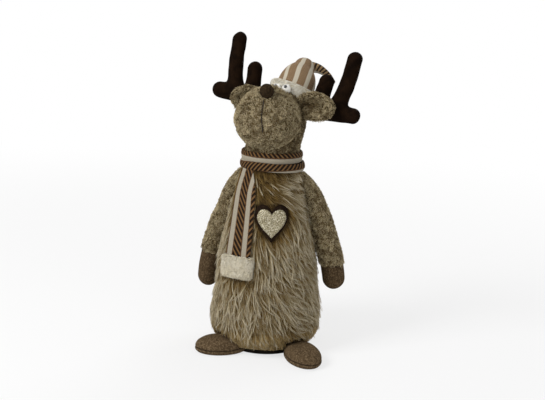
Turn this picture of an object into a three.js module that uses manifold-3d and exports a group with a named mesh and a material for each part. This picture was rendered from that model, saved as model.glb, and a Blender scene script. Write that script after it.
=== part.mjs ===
// A standing plush reindeer with a woven scarf and cap.
// Millimetres and degrees. It looks along -Y, its own left side is +X, and it stands on Z = 0.
import * as THREE from "three";
import { mergeVertices } from "three/addons/utils/BufferGeometryUtils.js";
import Module from "manifold-3d";

const wasm = await Module();
wasm.setup();

// Clearances and cloths
const gap = 0.35; // between neighbouring pieces
const longPile = 3; // backing and dense underfur of the body cloth
const shortPile = 2.4; // curly cloth of the head and the sleeves
const felt = 1.8; // mittens and feet
const suede = 1.3; // antlers
const weave = 1.5; // cap and scarf cloth

// Base
const baseRadius = 66;
const baseRim = 14; // height of the felt cup under the body
const boardThickness = 3;
const bagRadius = 50;
const bagHeight = 22;

// Body, as heights and the radii of its cloth
const neckHeight = 312;
const neckRadius = 42;
const bodyStations = [
  [baseRim, 74],
  [30, 83.5],
  [55, 86],
  [100, 80.5],
  [160, 74.5],
  [240, 58],
  [neckHeight, neckRadius],
];
const bodySides = 24;
const bodyRings = 9;

// Head: the skull leans to the figure's left, and the muzzle is a ball in front of it.
// Places on the head are measured from the middle of the skull's widest ring.
const skullOverNeck = 64;
const skullMiddle = new THREE.Vector3(8, 8, neckHeight + skullOverNeck);
const skullTop = { x: 8, y: 4, rise: 62 };
const skullHalf = { x: 40.5, y: 45 };
const muzzleCentre = onHead(-9, -34, 5);
const muzzleHalf = new THREE.Vector3(51.5, 47, 49);
const noseCentre = new THREE.Vector3(6, -30.5, 46.4).add(muzzleCentre);
const noseRadius = 11.3;
const stitchTop = { x: 3, z: 34 }; // from the middle of the muzzle
const stitchBottom = { x: 6, z: -17 };
const threadRadius = 0.7;
const threadSides = 6;
const eyesMiddle = onHead(9, -25, 53);
const eyeSpacing = 16;
const eyeRadius = 7.7;
const pupilRadius = 2.9;
const pupilLook = new THREE.Vector3(0, -0.8, 0.6);

// Ears are cups that open forward, one layer of plush lining another
const earHalf = new THREE.Vector3(31.5, 10, 21);
const earLayer = 2.6;
const earFlop = 15; // degrees up and down
const earSides = {
  left: { centre: onHead(64.3, -22.5, 28.5), turn: -8, roll: 4 },
  right: { centre: onHead(-46, -10, 30.5), turn: 2, roll: 6 },
};
const earRoots = { left: onHead(33.5, -18.5, 28.5), right: onHead(-35, -10, 30.5) };

// Antlers: three round-ended tines in one plane that leans back
const antlerOrigin = onHead(1, 0, -2);
const antlerTurn = -7;
const antlerRoll = 6;
const antlerForward = 8; // of the plane at its lower edge
const antlerFoot = 30; // height of that edge over the origin
const antlerLean = 13;
const tineRadius = 12.6;
const beam = [[26, -12], [58, -4], [92, -1], [131, 1.5]];
const mainTine = [[88, 2], [94, 24], [99, 50], [102.5, 101]];
const innerTine = [[57, 0], [60, 22], [64.8, 57.5]];

// Cap: a cone pulled over the skull, with a fur cuff and a folded tip
const capBase = onHead(20, 22, 56);
const capAxis = new THREE.Vector3(0.165, 0.335, 0.927).normalize();
const capRadius = 31;
const capMiddleRadius = 28.5;
const capUpperRadius = 22.5;
const capFold = new THREE.Vector3(7.7, 18, 26.5).add(capBase);
const capFoldRadius = 15.5;
const cuffHeight = 19;
const cuffThickness = 9;
const cuffCorners = 8; // of its section
const tipRadius = 8;
const tipEndRadius = 2.6;
const tipLift = 20; // degrees up
const tipDroop = 10; // and down
const tipPath = [[6.3, 3, 3.5], [21.3, 9.5, 1.5], [37.3, 17, -9.5], [47.8, 22, -22.5]]; // from the fold

// Scarf
const wrapUnderNeck = 12.5; // how far it reaches down and up from the neck seam
const wrapOverNeck = 16.5;
const wrapBottom = neckHeight - wrapUnderNeck;
const wrapTop = neckHeight + wrapOverNeck;
const wrapOutside = { bottom: 52.5, top: 49 };
const wrapInsideTop = 46; // clear of the head as it turns
const tailTop = wrapBottom - weave - gap;
const tailBottom = 158;
const tailX = -27;
const tailFacing = { top: -34, bottom: -13 }; // azimuths of its face
const tailWidth = { top: 28, full: 45, fullBelow: 255 };
const tailBend = 150; // radius of its bend across
const tailCuff = { top: 166, bottom: 131, width: 56, thickness: 11 };

// Heart on the chest
const heartAzimuth = 20.7;
const heartHeight = 219;
const heartFace = { width: 46, height: 46, thickness: 1 };
const heartBacking = { width: 54, height: 58, thickness: 1.6 };

// Arms hang at the sides, a little behind the middle
const armAzimuth = 15;
const shoulderUnderNeck = 21;
const shoulderHeight = neckHeight - shoulderUnderNeck;
const wristHeight = 140;
const armLeaves = 245; // below this height the arm stands off the body
const armClear = 100; // and at this height it has its full stand-off
const armStandOff = { left: 15, right: 18.5 };
const armFlatness = 0.94;
const armStations = [[60, 18], [110, 18.5], [140, 18.5], [200, 18.5], [241, 16], [281, 10.5], [296, 6]];
const handBottom = { left: 97, right: 75 };

// Feet: flat ovals sewn to the rim of the base
const footHalf = { length: 43.5, width: 28 };
const footThickness = 25;
const footSeam = 5;
const footLift = 12;
const footHinge = 62; // distance of the lifting axis from the middle of the base
const footSides = {
  left: { x: 84.5, y: -63, heading: 37 },
  right: { x: -51.5, y: -70.5, heading: -60 },
};

function onHead(x, y, z) {
  return new THREE.Vector3(x, y, z).add(skullMiddle);
}

// Finishes
function finish(colour, roughness) {
  return new THREE.MeshStandardMaterial({ color: colour, roughness, metalness: 0 });
}
const curlyPlush = finish(0x9a8a6c, 0.95);
const furPlush = finish(0x8a7a5c, 0.95);
const darkSuede = finish(0x2e1c12, 0.85);
const brownFelt = finish(0x5a4838, 0.95);
const baseFelt = finish(0x2b221b, 0.95);
const creamFur = finish(0xd6c9ac, 0.95);
const scarfWeave = finish(0x8c6a4c, 0.9);
const capWeave = finish(0xa8876c, 0.9);
const wadding = finish(0xe8e6e0, 1);
const board = finish(0x9c7f58, 0.8);
const sand = finish(0xc9b68d, 0.9);
const goldGlitter = finish(0xb3a277, 0.45);
const heartFelt = finish(0x2e2018, 0.95);
const noseFelt = finish(0x4a3324, 0.95);
const eyeWhite = finish(0xf4f2ec, 0.3);
const pupilBlack = finish(0x0b0b0d, 0.2);
const blackThread = finish(0x17130f, 0.8);

// Numbers and points
const radians = THREE.MathUtils.degToRad;

function spread(from, to, count) {
  return Array.from({ length: count + 1 }, (unused, i) => from + ((to - from) * i) / count);
}

// A smooth curve through stations of position and size, read at one position.
function sizeAt(stations, position) {
  const last = stations.length - 1;
  const place = THREE.MathUtils.clamp(position, stations[0][0], stations[last][0]);
  let i = 0;
  while (i < last - 1 && place > stations[i + 1][0]) i += 1;
  const slope = (k) => {
    const before = stations[Math.max(k - 1, 0)];
    const after = stations[Math.min(k + 1, last)];
    return (after[1] - before[1]) / (after[0] - before[0]);
  };
  const [start, startSize] = stations[i];
  const [end, endSize] = stations[i + 1];
  const length = end - start;
  const t = (place - start) / length;
  const rise = slope(i) * length;
  const fall = slope(i + 1) * length;
  const even = (2 * t * t * t - 3 * t * t + 1) * startSize + (3 * t * t - 2 * t * t * t) * endSize;
  return even + (t * t * t - 2 * t * t + t) * rise + (t * t * t - t * t) * fall;
}

// A cosine or sine, drawn out so that an oval turns into a plump block.
function squared(value) {
  return Math.sign(value) * Math.pow(Math.abs(value), 0.6);
}

// The point at an azimuth (0 is the front, positive to the figure's left), a radius and a height.
function around(azimuth, radius, height) {
  const angle = radians(azimuth);
  return new THREE.Vector3(radius * Math.sin(angle), -radius * Math.cos(angle), height);
}

// Closed solids
function closedGeometry(points, index) {
  const positions = points.flatMap((point) => [point.x, point.y, point.z]);
  let volume = 0;
  for (let i = 0; i < index.length; i += 3) {
    const a = points[index[i]];
    const b = points[index[i + 1]];
    const c = points[index[i + 2]];
    volume += a.dot(b.clone().cross(c));
  }
  const outward = volume > 0 ? index : index.slice().reverse();
  const geometry = new THREE.BufferGeometry();
  geometry.setAttribute("position", new THREE.Float32BufferAttribute(positions, 3));
  geometry.setIndex(outward);
  return geometry;
}

// Rings of equally many points, joined in order and closed by a fan to a point at each end.
function ringSolid(rings, start, end) {
  const count = rings[0].length;
  const points = [...rings.flat(), start, end];
  const startIndex = points.length - 2;
  const endIndex = points.length - 1;
  const lastRing = (rings.length - 1) * count;
  const index = [];
  for (let j = 0; j < count; j += 1) {
    const k = (j + 1) % count;
    for (let ring = 0; ring < lastRing; ring += count) {
      index.push(ring + j, ring + k, ring + count + k);
      index.push(ring + j, ring + count + k, ring + count + j);
    }
    index.push(startIndex, k, j);
    index.push(endIndex, lastRing + j, lastRing + k);
  }
  return closedGeometry(points, index);
}

// Level ovals at given heights; section(z) gives the middle and the two radii of each.
function stack(heights, sides, section) {
  const rings = heights.map((z) => {
    const { x, y, rx, ry } = section(z);
    return Array.from({ length: sides }, (unused, j) => {
      const angle = (2 * Math.PI * (j + 0.5)) / sides;
      return new THREE.Vector3(x + rx * Math.cos(angle), y + ry * Math.sin(angle), z);
    });
  });
  const middle = (z) => new THREE.Vector3(section(z).x, section(z).y, z);
  return ringSolid(rings, middle(heights[0]), middle(heights[heights.length - 1]));
}

// A place along a curve, which runs straight on beyond its ends.
function placeOn(curve, u) {
  const held = THREE.MathUtils.clamp(u, 0, 1);
  return curve.getPointAt(held).addScaledVector(curve.getTangentAt(held), (u - held) * curve.getLength());
}

// A swelling limb along a curve, with round ends. inset draws the whole surface inwards.
function limb(curve, { rings, sides, half, flatness = 1, inset = 0, deepAxis }) {
  const length = curve.getLength();
  const from = inset / length;
  const to = 1 - from;
  const roundedHalf = (u) => {
    const full = half(u) - inset;
    const fromEnd = Math.min(u - from, to - u) * length;
    return fromEnd >= full ? full : Math.sqrt(fromEnd * (2 * full - fromEnd));
  };
  const circle = [];
  for (let i = 0; i < rings; i += 1) {
    const u = from + ((to - from) * (1 - Math.cos((Math.PI * (i + 0.5)) / rings))) / 2;
    const middle = placeOn(curve, u);
    const along = curve.getTangentAt(THREE.MathUtils.clamp(u, 0, 1));
    const across = along.clone().cross(deepAxis).normalize();
    const deep = across.clone().cross(along).normalize();
    const wide = roundedHalf(u);
    circle.push(Array.from({ length: sides }, (unused, j) => {
      const angle = (2 * Math.PI * (j + 0.5)) / sides;
      return middle.clone()
        .addScaledVector(across, wide * Math.cos(angle))
        .addScaledVector(deep, wide * flatness * Math.sin(angle));
    }));
  }
  return ringSolid(circle, placeOn(curve, from), placeOn(curve, to));
}

// A plate with the given outline, bent by at(x, y, layer); layer 0 is its back and 1 its face.
function bentPlate(outline, count, at) {
  const ring = (scale, layer) => outline.map((point) => at(point.x * scale, point.y * scale, layer));
  const back = spread(1 / count, 1, count - 1).map((scale) => ring(scale, 0));
  const face = spread(1, 1 / count, count - 1).map((scale) => ring(scale, 1));
  return ringSolid([...back, ...face], at(0, 0, 0), at(0, 0, 1));
}

// A strip of rows and columns; at(u, v, layer) has u across and v along, from 0 to 1.
function strip(columns, rows, at) {
  const outlineRing = (v) => {
    const back = spread(0, 1, columns).map((u) => at(u, v, 0));
    const face = spread(1, 0, columns).map((u) => at(u, v, 1));
    return [...back, ...face];
  };
  const middle = (v) => at(0.5, v, 0).lerp(at(0.5, v, 1), 0.5);
  return ringSolid(spread(0, 1, rows).map(outlineRing), middle(0), middle(1));
}

function ball(centre, half, sides, rings) {
  const geometry = new THREE.SphereGeometry(1, sides, rings);
  geometry.rotateX(Math.PI / 2);
  geometry.scale(half.x, half.y, half.z);
  geometry.translate(centre.x, centre.y, centre.z);
  return geometry;
}

// A profile of radius and height, turned about Z, with its corners where a stack has them.
function turned(profile, sides) {
  const outline = profile.map(([radius, height]) => new THREE.Vector2(radius, height));
  const geometry = new THREE.LatheGeometry(outline, sides, Math.PI / sides);
  geometry.rotateX(Math.PI / 2);
  return geometry;
}

// Joins and cuts
function toManifold(geometry) {
  const bare = geometry.clone();
  bare.deleteAttribute("normal");
  bare.deleteAttribute("uv");
  const merged = mergeVertices(bare, 1e-4);
  return new wasm.Manifold(new wasm.Mesh({
    numProp: 3,
    vertProperties: new Float32Array(merged.attributes.position.array),
    triVerts: new Uint32Array(merged.index.array),
  }));
}

function fromManifold(solid) {
  const mesh = solid.getMesh();
  const geometry = new THREE.BufferGeometry();
  geometry.setAttribute("position", new THREE.BufferAttribute(mesh.vertProperties, 3));
  geometry.setIndex(new THREE.BufferAttribute(mesh.triVerts, 1));
  return geometry;
}

function cut(geometry, ...tools) {
  return fromManifold(tools.reduce((solid, tool) => solid.subtract(toManifold(tool)), toManifold(geometry)));
}

function join(...parts) {
  return fromManifold(parts.map(toManifold).reduce((solid, part) => solid.add(part)));
}

function keep(geometry, tool) {
  return fromManifold(toManifold(geometry).intersect(toManifold(tool)));
}

// A block that covers one side of a plane through a point.
const reach = 800;
function sideOf(point, normal) {
  const block = new THREE.BoxGeometry(reach, reach, reach);
  block.translate(0, 0, reach / 2);
  block.applyQuaternion(new THREE.Quaternion().setFromUnitVectors(new THREE.Vector3(0, 0, 1), normal));
  block.translate(point.x, point.y, point.z);
  return block;
}

function above(height) {
  return sideOf(new THREE.Vector3(0, 0, height), new THREE.Vector3(0, 0, 1));
}

function below(height) {
  return sideOf(new THREE.Vector3(0, 0, height), new THREE.Vector3(0, 0, -1));
}

// Forms that several pieces share
function bodyRadius(z) {
  return sizeAt(bodyStations, z);
}

// Levels lie closer together where the body turns in towards its base.
const panelBottom = baseRim + gap;
const bodyLevels = spread(0, 1, bodyRings).map((t) => {
  return THREE.MathUtils.lerp(panelBottom, neckHeight, Math.pow(t, 1.5));
});

function bodyForm(inset, levels) {
  const section = (z) => ({ x: 0, y: 0, rx: bodyRadius(z) - inset, ry: bodyRadius(z) - inset });
  return stack(levels, bodySides, section);
}

// The skull stands on the neck, widens to its own half sizes and closes over the top.
function skullForm(inset, from) {
  const low = spread(from, skullMiddle.z, 3);
  const high = spread(0, Math.PI / 2, 5).slice(1, -1);
  const rise = skullTop.rise - inset;
  const peak = skullMiddle.z + rise;
  const heights = [...low, ...high.map((angle) => skullMiddle.z + rise * Math.sin(angle)), peak];
  const section = (z) => {
    if (z <= skullMiddle.z) {
      const t = THREE.MathUtils.clamp((z - neckHeight) / skullOverNeck, 0, 1);
      const moved = t * t * (3 - 2 * t);
      const filled = 1 - (1 - t) * (1 - t);
      return {
        x: skullMiddle.x * moved,
        y: skullMiddle.y * moved,
        rx: neckRadius + (skullHalf.x - neckRadius) * filled - inset,
        ry: neckRadius + (skullHalf.y - neckRadius) * filled - inset,
      };
    }
    const t = Math.min((z - skullMiddle.z) / rise, 1);
    const round = Math.max(Math.sqrt(1 - t * t), 0.04);
    return {
      x: skullMiddle.x + skullTop.x * t,
      y: skullMiddle.y + skullTop.y * t,
      rx: (skullHalf.x - inset) * round,
      ry: (skullHalf.y - inset) * round,
    };
  };
  return stack(heights, 22, section);
}

function muzzleForm(inset) {
  return ball(muzzleCentre, muzzleHalf.clone().subScalar(inset), 20, 12);
}

// Copies of a form turned about an axis: the room that it needs from a piece that swings the other way.
function swung(geometry, origin, axis, angles) {
  return angles.map((angle) => {
    const copy = geometry.clone().translate(-origin.x, -origin.y, -origin.z);
    copy.applyMatrix4(new THREE.Matrix4().makeRotationAxis(axis, radians(angle)));
    return copy.translate(origin.x, origin.y, origin.z);
  });
}

const bothSides = ["left", "right"];
const sideSign = { left: 1, right: -1 };

// The figure and its moving groups, each with its origin on its own axis
const figure = new THREE.Group();
const headGroup = new THREE.Group();
headGroup.position.set(0, 0, neckHeight);
figure.add(headGroup);

function movingGroup(parent, origin) {
  const group = new THREE.Group();
  group.position.copy(parent.worldToLocal(origin.clone()));
  parent.add(group);
  figure.updateMatrixWorld(true);
  return group;
}

// Pieces are shaped in the figure's own frame, then handed to the group that carries them.
function add(group, name, geometry, material) {
  figure.updateMatrixWorld(true);
  const local = geometry.clone().applyMatrix4(group.matrixWorld.clone().invert());
  const mesh = new THREE.Mesh(local, material);
  mesh.name = name;
  group.add(mesh);
}

// Base: a felt cup over the rim, a stiff board in it and a bag of sand for weight
const cupInside = baseRadius - felt;
add(figure, "base_cover", turned([
  [0, 0],
  [baseRadius, 0],
  [baseRadius, baseRim],
  [cupInside, baseRim],
  [cupInside, felt],
  [0, felt],
], bodySides), baseFelt);
const boardBottom = felt + gap;
const boardTop = boardBottom + boardThickness;
add(figure, "base_board", turned([
  [0, boardBottom],
  [cupInside - gap, boardBottom],
  [cupInside - gap, boardTop],
  [0, boardTop],
], bodySides), board);

function ballastForm(room) {
  const bottom = boardTop + gap - room;
  const top = boardTop + gap + bagHeight + room;
  const edge = bagRadius + room;
  return turned([
    [0, bottom],
    [edge * 0.92, bottom],
    [edge, bottom + bagHeight * 0.3],
    [edge * 0.9, top - bagHeight * 0.25],
    [edge * 0.55, top - bagHeight * 0.05],
    [0, top],
  ], 24);
}
add(figure, "ballast_bag", ballastForm(0), sand);

// Body: stuffing in a long-piled skin of two panels that meet under the arms
const stuffingBottom = boardTop + gap;
const stuffingSection = (z) => {
  const size = z <= panelBottom ? cupInside - gap : bodyRadius(z) - longPile - gap;
  return { x: 0, y: 0, rx: size, ry: size };
};
const stuffingHeights = [stuffingBottom, panelBottom, panelBottom + gap, ...bodyLevels.slice(1)];
const stuffingForm = stack(stuffingHeights, bodySides, stuffingSection);
add(figure, "body_stuffing", cut(stuffingForm, ballastForm(gap)), wadding);

const bodyInside = bodyForm(longPile, [panelBottom - 1, ...bodyLevels, neckHeight + 1]);
const bodyShell = cut(bodyForm(0, bodyLevels), bodyInside);
const forward = new THREE.Vector3(0, -1, 0);
const backward = new THREE.Vector3(0, 1, 0);
const sideSeam = Math.sin(radians(armAzimuth)) * bodyRadius(shoulderHeight);
const frontHalf = sideOf(new THREE.Vector3(0, sideSeam - gap / 2, 0), forward);
const backHalf = sideOf(new THREE.Vector3(0, sideSeam + gap / 2, 0), backward);
add(figure, "body_front_panel", keep(bodyShell, frontHalf), furPlush);
add(figure, "body_back_panel", keep(bodyShell, backHalf), furPlush);

// Heart: a glitter face on a felt backing, both bent to the chest
function heartOutline(width, height) {
  const shape = new THREE.Shape();
  shape.moveTo(0, 0.3 * height);
  shape.bezierCurveTo(0.04 * width, 0.42 * height, 0.14 * width, 0.5 * height, 0.27 * width, 0.5 * height);
  shape.bezierCurveTo(0.41 * width, 0.5 * height, 0.5 * width, 0.38 * height, 0.5 * width, 0.2 * height);
  shape.bezierCurveTo(0.5 * width, -0.04 * height, 0.2 * width, -0.28 * height, 0, -0.5 * height);
  shape.bezierCurveTo(-0.2 * width, -0.28 * height, -0.5 * width, -0.04 * height, -0.5 * width, 0.2 * height);
  shape.bezierCurveTo(-0.5 * width, 0.38 * height, -0.41 * width, 0.5 * height, -0.27 * width, 0.5 * height);
  shape.bezierCurveTo(-0.14 * width, 0.5 * height, -0.04 * width, 0.42 * height, 0, 0.3 * height);
  return shape.getPoints(4).slice(0, -1);
}

// Places a flat outline on the body: x runs round it and y up it.
function onBody(azimuth, height, lift, thickness) {
  return (x, y, layer) => {
    const z = height + y;
    const radius = bodyRadius(z) + lift + layer * thickness;
    return around(azimuth + THREE.MathUtils.radToDeg(x / bodyRadius(z)), radius, z);
  };
}

const facetSag = 0.4; // of the body's flats under their true round
const backingOutline = heartOutline(heartBacking.width, heartBacking.height);
const backingAt = onBody(heartAzimuth, heartHeight, facetSag, heartBacking.thickness);
add(figure, "heart_backing", bentPlate(backingOutline, 3, backingAt), heartFelt);
const faceOutline = heartOutline(heartFace.width, heartFace.height);
const faceLift = facetSag + heartBacking.thickness + gap;
const faceAt = onBody(heartAzimuth, heartHeight, faceLift, heartFace.thickness);
add(figure, "heart_face", bentPlate(faceOutline, 3, faceAt), goldGlitter);

// Scarf: one wrap round the neck, and a tail that hangs from under it
const wrapInside = bodyRadius(wrapBottom) + gap;
const wrapEdge = 3; // how far its edges round over
add(figure, "scarf_wrap", turned([
  [wrapInside, wrapBottom],
  [wrapOutside.bottom - wrapEdge / 2, wrapBottom],
  [wrapOutside.bottom, wrapBottom + wrapEdge],
  [wrapOutside.top, wrapTop - wrapEdge],
  [wrapOutside.top - wrapEdge / 2, wrapTop],
  [wrapInsideTop, wrapTop],
  [wrapInside, wrapBottom],
], bodySides), scarfWeave);

// A point of the tail, across it and out from the body, on which it lies. It rises to enter the cuff.
function tailPoint(across, out, z) {
  const t = THREE.MathUtils.clamp((tailTop - z) / (tailTop - tailCuff.top), 0, 1);
  const radius = bodyRadius(z) + gap + (t * t * (tailCuff.thickness - weave)) / 2;
  const facing = THREE.MathUtils.lerp(tailFacing.top, tailFacing.bottom, t);
  const point = new THREE.Vector3(tailX, -Math.sqrt(radius * radius - tailX * tailX), z);
  point.addScaledVector(around(facing + 90, 1, 0), across);
  return point.addScaledVector(around(facing, 1, 0), out - (across * across) / (2 * tailBend));
}
const tailGroup = movingGroup(figure, tailPoint(0, 0, tailTop));

function tailForm(room) {
  return strip(4, 10, (u, v, layer) => {
    const z = THREE.MathUtils.lerp(tailTop + room, tailBottom - room, v);
    const t = THREE.MathUtils.clamp((tailTop - z) / (tailTop - tailWidth.fullBelow), 0, 1);
    const width = THREE.MathUtils.lerp(tailWidth.top, tailWidth.full, Math.sin((t * Math.PI) / 2));
    return tailPoint((u - 0.5) * (width + 2 * room), layer * (weave + 2 * room) - room, z);
  });
}
add(tailGroup, "scarf_tail", tailForm(0), scarfWeave);

// The cuff is a plump pad round the tail's end.
function tailCuffForm() {
  const middle = (tailCuff.top + tailCuff.bottom) / 2;
  const halfHeight = (tailCuff.top - tailCuff.bottom) / 2;
  const count = 16;
  const ring = (tilt) => {
    const z = middle + halfHeight * Math.sin(tilt);
    const fullness = Math.pow(Math.cos(tilt), 0.4);
    return Array.from({ length: count }, (unused, j) => {
      const angle = (2 * Math.PI * (j + 0.5)) / count;
      const across = (tailCuff.width / 2) * squared(Math.cos(angle)) * (0.7 + 0.3 * fullness);
      const out = (tailCuff.thickness / 2) * squared(Math.sin(angle)) * fullness;
      return tailPoint(across, weave / 2 + out, z);
    });
  };
  const end = Math.PI / 2;
  const rings = spread(0.9 * end, -0.9 * end, 6).map(ring);
  return ringSolid(rings, tailPoint(0, weave / 2, tailCuff.top), tailPoint(0, weave / 2, tailCuff.bottom));
}
add(tailGroup, "scarf_tail_cuff", cut(tailCuffForm(), tailForm(gap)), creamFur);

// Head: skull and muzzle are stuffed balls of the same cloth, sewn together
const headBottom = neckHeight + gap;
const skullShell = cut(skullForm(0, headBottom), skullForm(shortPile, headBottom - 1));
add(headGroup, "head_skin", skullShell, curlyPlush);
add(headGroup, "head_stuffing", skullForm(shortPile + gap, headBottom), wadding);
const skullRoom = skullForm(-gap, headBottom - 2);
const muzzleShell = cut(muzzleForm(0), muzzleForm(shortPile), skullRoom);
add(headGroup, "muzzle_skin", muzzleShell, curlyPlush);
add(headGroup, "muzzle_stuffing", cut(muzzleForm(shortPile + gap), skullRoom), wadding);
const muzzleRoom = muzzleForm(-gap);
const noseHalf = new THREE.Vector3(noseRadius, noseRadius, noseRadius);
add(headGroup, "nose", cut(ball(noseCentre, noseHalf, 14, 10), muzzleRoom), noseFelt);

// The mouth is one long stitch on the muzzle, down from under the nose.
const stitchPoints = spread(0, 1, 5).map((t) => {
  const off = gap + threadRadius;
  const x = THREE.MathUtils.lerp(stitchTop.x, stitchBottom.x, t);
  const z = THREE.MathUtils.lerp(stitchTop.z, stitchBottom.z, t);
  const across = x / (muzzleHalf.x + off);
  const up = z / (muzzleHalf.z + off);
  const y = -(muzzleHalf.y + off) * Math.sqrt(1 - across * across - up * up);
  return new THREE.Vector3(x, y, z).add(muzzleCentre);
});
const threadStep = 360 / threadSides;
const threadSection = new THREE.Shape(spread(0, 360 - threadStep, threadSides - 1).map((angle) => {
  return new THREE.Vector2(threadRadius * Math.cos(radians(angle)), threadRadius * Math.sin(radians(angle)));
}));
add(headGroup, "mouth_stitch", new THREE.ExtrudeGeometry(threadSection, {
  steps: 14,
  extrudePath: new THREE.CatmullRomCurve3(stitchPoints),
}), blackThread);

// Eyes: domes glued where the muzzle meets the skull, each with a pupil on it
function eyeCentre(side) {
  return eyesMiddle.clone().setX(eyesMiddle.x + (sideSign[side] * eyeSpacing) / 2);
}

function eyeForm(side, room) {
  const size = eyeRadius + room;
  return ball(eyeCentre(side), new THREE.Vector3(size, size, size), 12, 8);
}
for (const side of bothSides) {
  add(headGroup, `eye_${side}_white`, cut(eyeForm(side, 0), muzzleRoom, skullRoom), eyeWhite);
  const pupilCentre = eyeCentre(side).addScaledVector(pupilLook, eyeRadius);
  const pupil = ball(new THREE.Vector3(), new THREE.Vector3(pupilRadius, pupilRadius, 1.6), 10, 6);
  pupil.applyQuaternion(new THREE.Quaternion().setFromUnitVectors(new THREE.Vector3(0, 0, 1), pupilLook));
  pupil.translate(pupilCentre.x, pupilCentre.y, pupilCentre.z);
  add(headGroup, `eye_${side}_pupil`, cut(pupil, eyeForm(side, gap), muzzleRoom), pupilBlack);
}

// Antlers: two suede faces sewn round their outline over a stuffed core
function antlerFrame() {
  const turn = new THREE.Matrix4().makeRotationFromEuler(
    new THREE.Euler(0, radians(antlerRoll), radians(antlerTurn), "ZYX"),
  );
  const lean = new THREE.Matrix4().makeRotationX(-radians(antlerLean));
  lean.setPosition(0, antlerForward, antlerFoot);
  return turn.setPosition(antlerOrigin).multiply(lean);
}

function antlerForm(side, inset) {
  const tine = (points, rings) => {
    const path = points.map(([out, up]) => new THREE.Vector3(sideSign[side] * out, 0, up));
    return limb(new THREE.CatmullRomCurve3(path), {
      rings,
      sides: 8,
      half: () => tineRadius,
      flatness: 0.88,
      inset,
      deepAxis: backward,
    });
  };
  return join(tine(beam, 7), tine(mainTine, 7), tine(innerTine, 6));
}

for (const side of bothSides) {
  const whole = cut(antlerForm(side, 0), antlerForm(side, suede));
  const half = (offset, normal) => {
    const piece = keep(whole, sideOf(new THREE.Vector3(0, offset, 0), normal));
    return cut(piece.applyMatrix4(antlerFrame()), skullRoom, muzzleRoom);
  };
  add(headGroup, `antler_${side}_front`, half(-gap / 2, forward), darkSuede);
  add(headGroup, `antler_${side}_back`, half(gap / 2, backward), darkSuede);
  const core = antlerForm(side, suede + gap).applyMatrix4(antlerFrame());
  add(headGroup, `antler_${side}_stuffing`, cut(core, skullRoom, muzzleRoom), wadding);
}

// Ears: two nested cups of plush, sewn on at a root where they can flop up and down
function earCup(side, layer) {
  const { centre, turn, roll } = earSides[side];
  const outer = earHalf.clone().subScalar(layer * (earLayer + gap));
  const inner = outer.clone().subScalar(earLayer);
  const none = new THREE.Vector3();
  const bowl = cut(ball(none, outer, 14, 8), ball(none, inner, 14, 8));
  const open = keep(bowl, sideOf(new THREE.Vector3(0, -1, 0), backward));
  open.applyMatrix4(new THREE.Matrix4().makeRotationFromEuler(
    new THREE.Euler(0, radians(roll), radians(turn), "ZYX"),
  ));
  open.translate(centre.x, centre.y, centre.z);
  const passes = [skullRoom, muzzleRoom].flatMap((room) => {
    return swung(room, earRoots[side], backward, [-earFlop, 0, earFlop]);
  });
  return cut(open, ...passes);
}
for (const side of bothSides) {
  const group = movingGroup(headGroup, earRoots[side]);
  add(group, `ear_${side}_back`, earCup(side, 0), curlyPlush);
  add(group, `ear_${side}_lining`, earCup(side, 1), curlyPlush);
}

// Cap: woven crown over wadding, fur cuff round its edge, and the tip that folds over
const capSides = 16;
function capForm(inset, longer = 0) {
  const drop = cuffHeight * 0.8; // how far its edge runs down inside the cuff
  const start = capBase.clone().addScaledVector(capAxis, -drop);
  const bend = capBase.clone().addScaledVector(capAxis, 6);
  const path = new THREE.QuadraticBezierCurve3(start, bend, capFold);
  const length = path.getLength();
  const places = spread(0, 1, 7);
  const stations = [
    [0, capRadius],
    [drop, capRadius],
    [drop + 12, capMiddleRadius],
    [length - 10, capUpperRadius],
    [length, capFoldRadius],
  ];
  const ring = (middlePoint, direction, size) => {
    const across = direction.clone().cross(backward).normalize();
    const deep = across.clone().cross(direction).normalize();
    return Array.from({ length: capSides }, (unused, j) => {
      const angle = (2 * Math.PI * (j + 0.5)) / capSides;
      return middlePoint.clone()
        .addScaledVector(across, size * Math.cos(angle))
        .addScaledVector(deep, size * Math.sin(angle));
    });
  };
  const rings = places.map((u) => {
    const size = sizeAt(stations, u * length) - inset;
    return ring(path.getPointAt(u), path.getTangentAt(u), size);
  });
  const foot = start.clone().addScaledVector(capAxis, -longer);
  if (longer > 0) rings.unshift(ring(foot, capAxis, capRadius - inset));
  const endAxis = path.getTangentAt(1);
  for (const angle of [30, 60]) {
    const size = capFoldRadius - inset;
    const middlePoint = capFold.clone().addScaledVector(endAxis, size * Math.sin(radians(angle)));
    rings.push(ring(middlePoint, endAxis, size * Math.cos(radians(angle))));
  }
  const peak = capFold.clone().addScaledVector(endAxis, capFoldRadius - inset);
  return ringSolid(rings, foot, peak);
}

const headSolids = [skullRoom, eyeForm("left", gap), eyeForm("right", gap)];
add(headGroup, "hat_crown", cut(capForm(0), capForm(weave, 1), ...headSolids), capWeave);
add(headGroup, "hat_filling", cut(capForm(weave + gap), ...headSolids), wadding);

const cuffStep = 360 / cuffCorners;
const cuffProfile = spread(cuffStep / 2, 360 - cuffStep / 2, cuffCorners - 1).map((degrees) => {
  const out = (cuffThickness / 2) * squared(Math.cos(radians(degrees)));
  const up = (cuffHeight / 2) * squared(Math.sin(radians(degrees)));
  return [capRadius + gap + cuffThickness / 2 + out, up];
});
const cuff = turned([...cuffProfile, cuffProfile[0]], capSides);
cuff.applyQuaternion(new THREE.Quaternion().setFromUnitVectors(new THREE.Vector3(0, 0, 1), capAxis));
const cuffCentre = capBase.clone().addScaledVector(capAxis, -cuffHeight / 2);
cuff.translate(cuffCentre.x, cuffCentre.y, cuffCentre.z);
const leftAntlerRoom = antlerForm("left", -gap).applyMatrix4(antlerFrame());
add(headGroup, "hat_cuff", cut(cuff, ...headSolids, leftAntlerRoom, capForm(-gap, 1)), creamFur);

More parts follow.
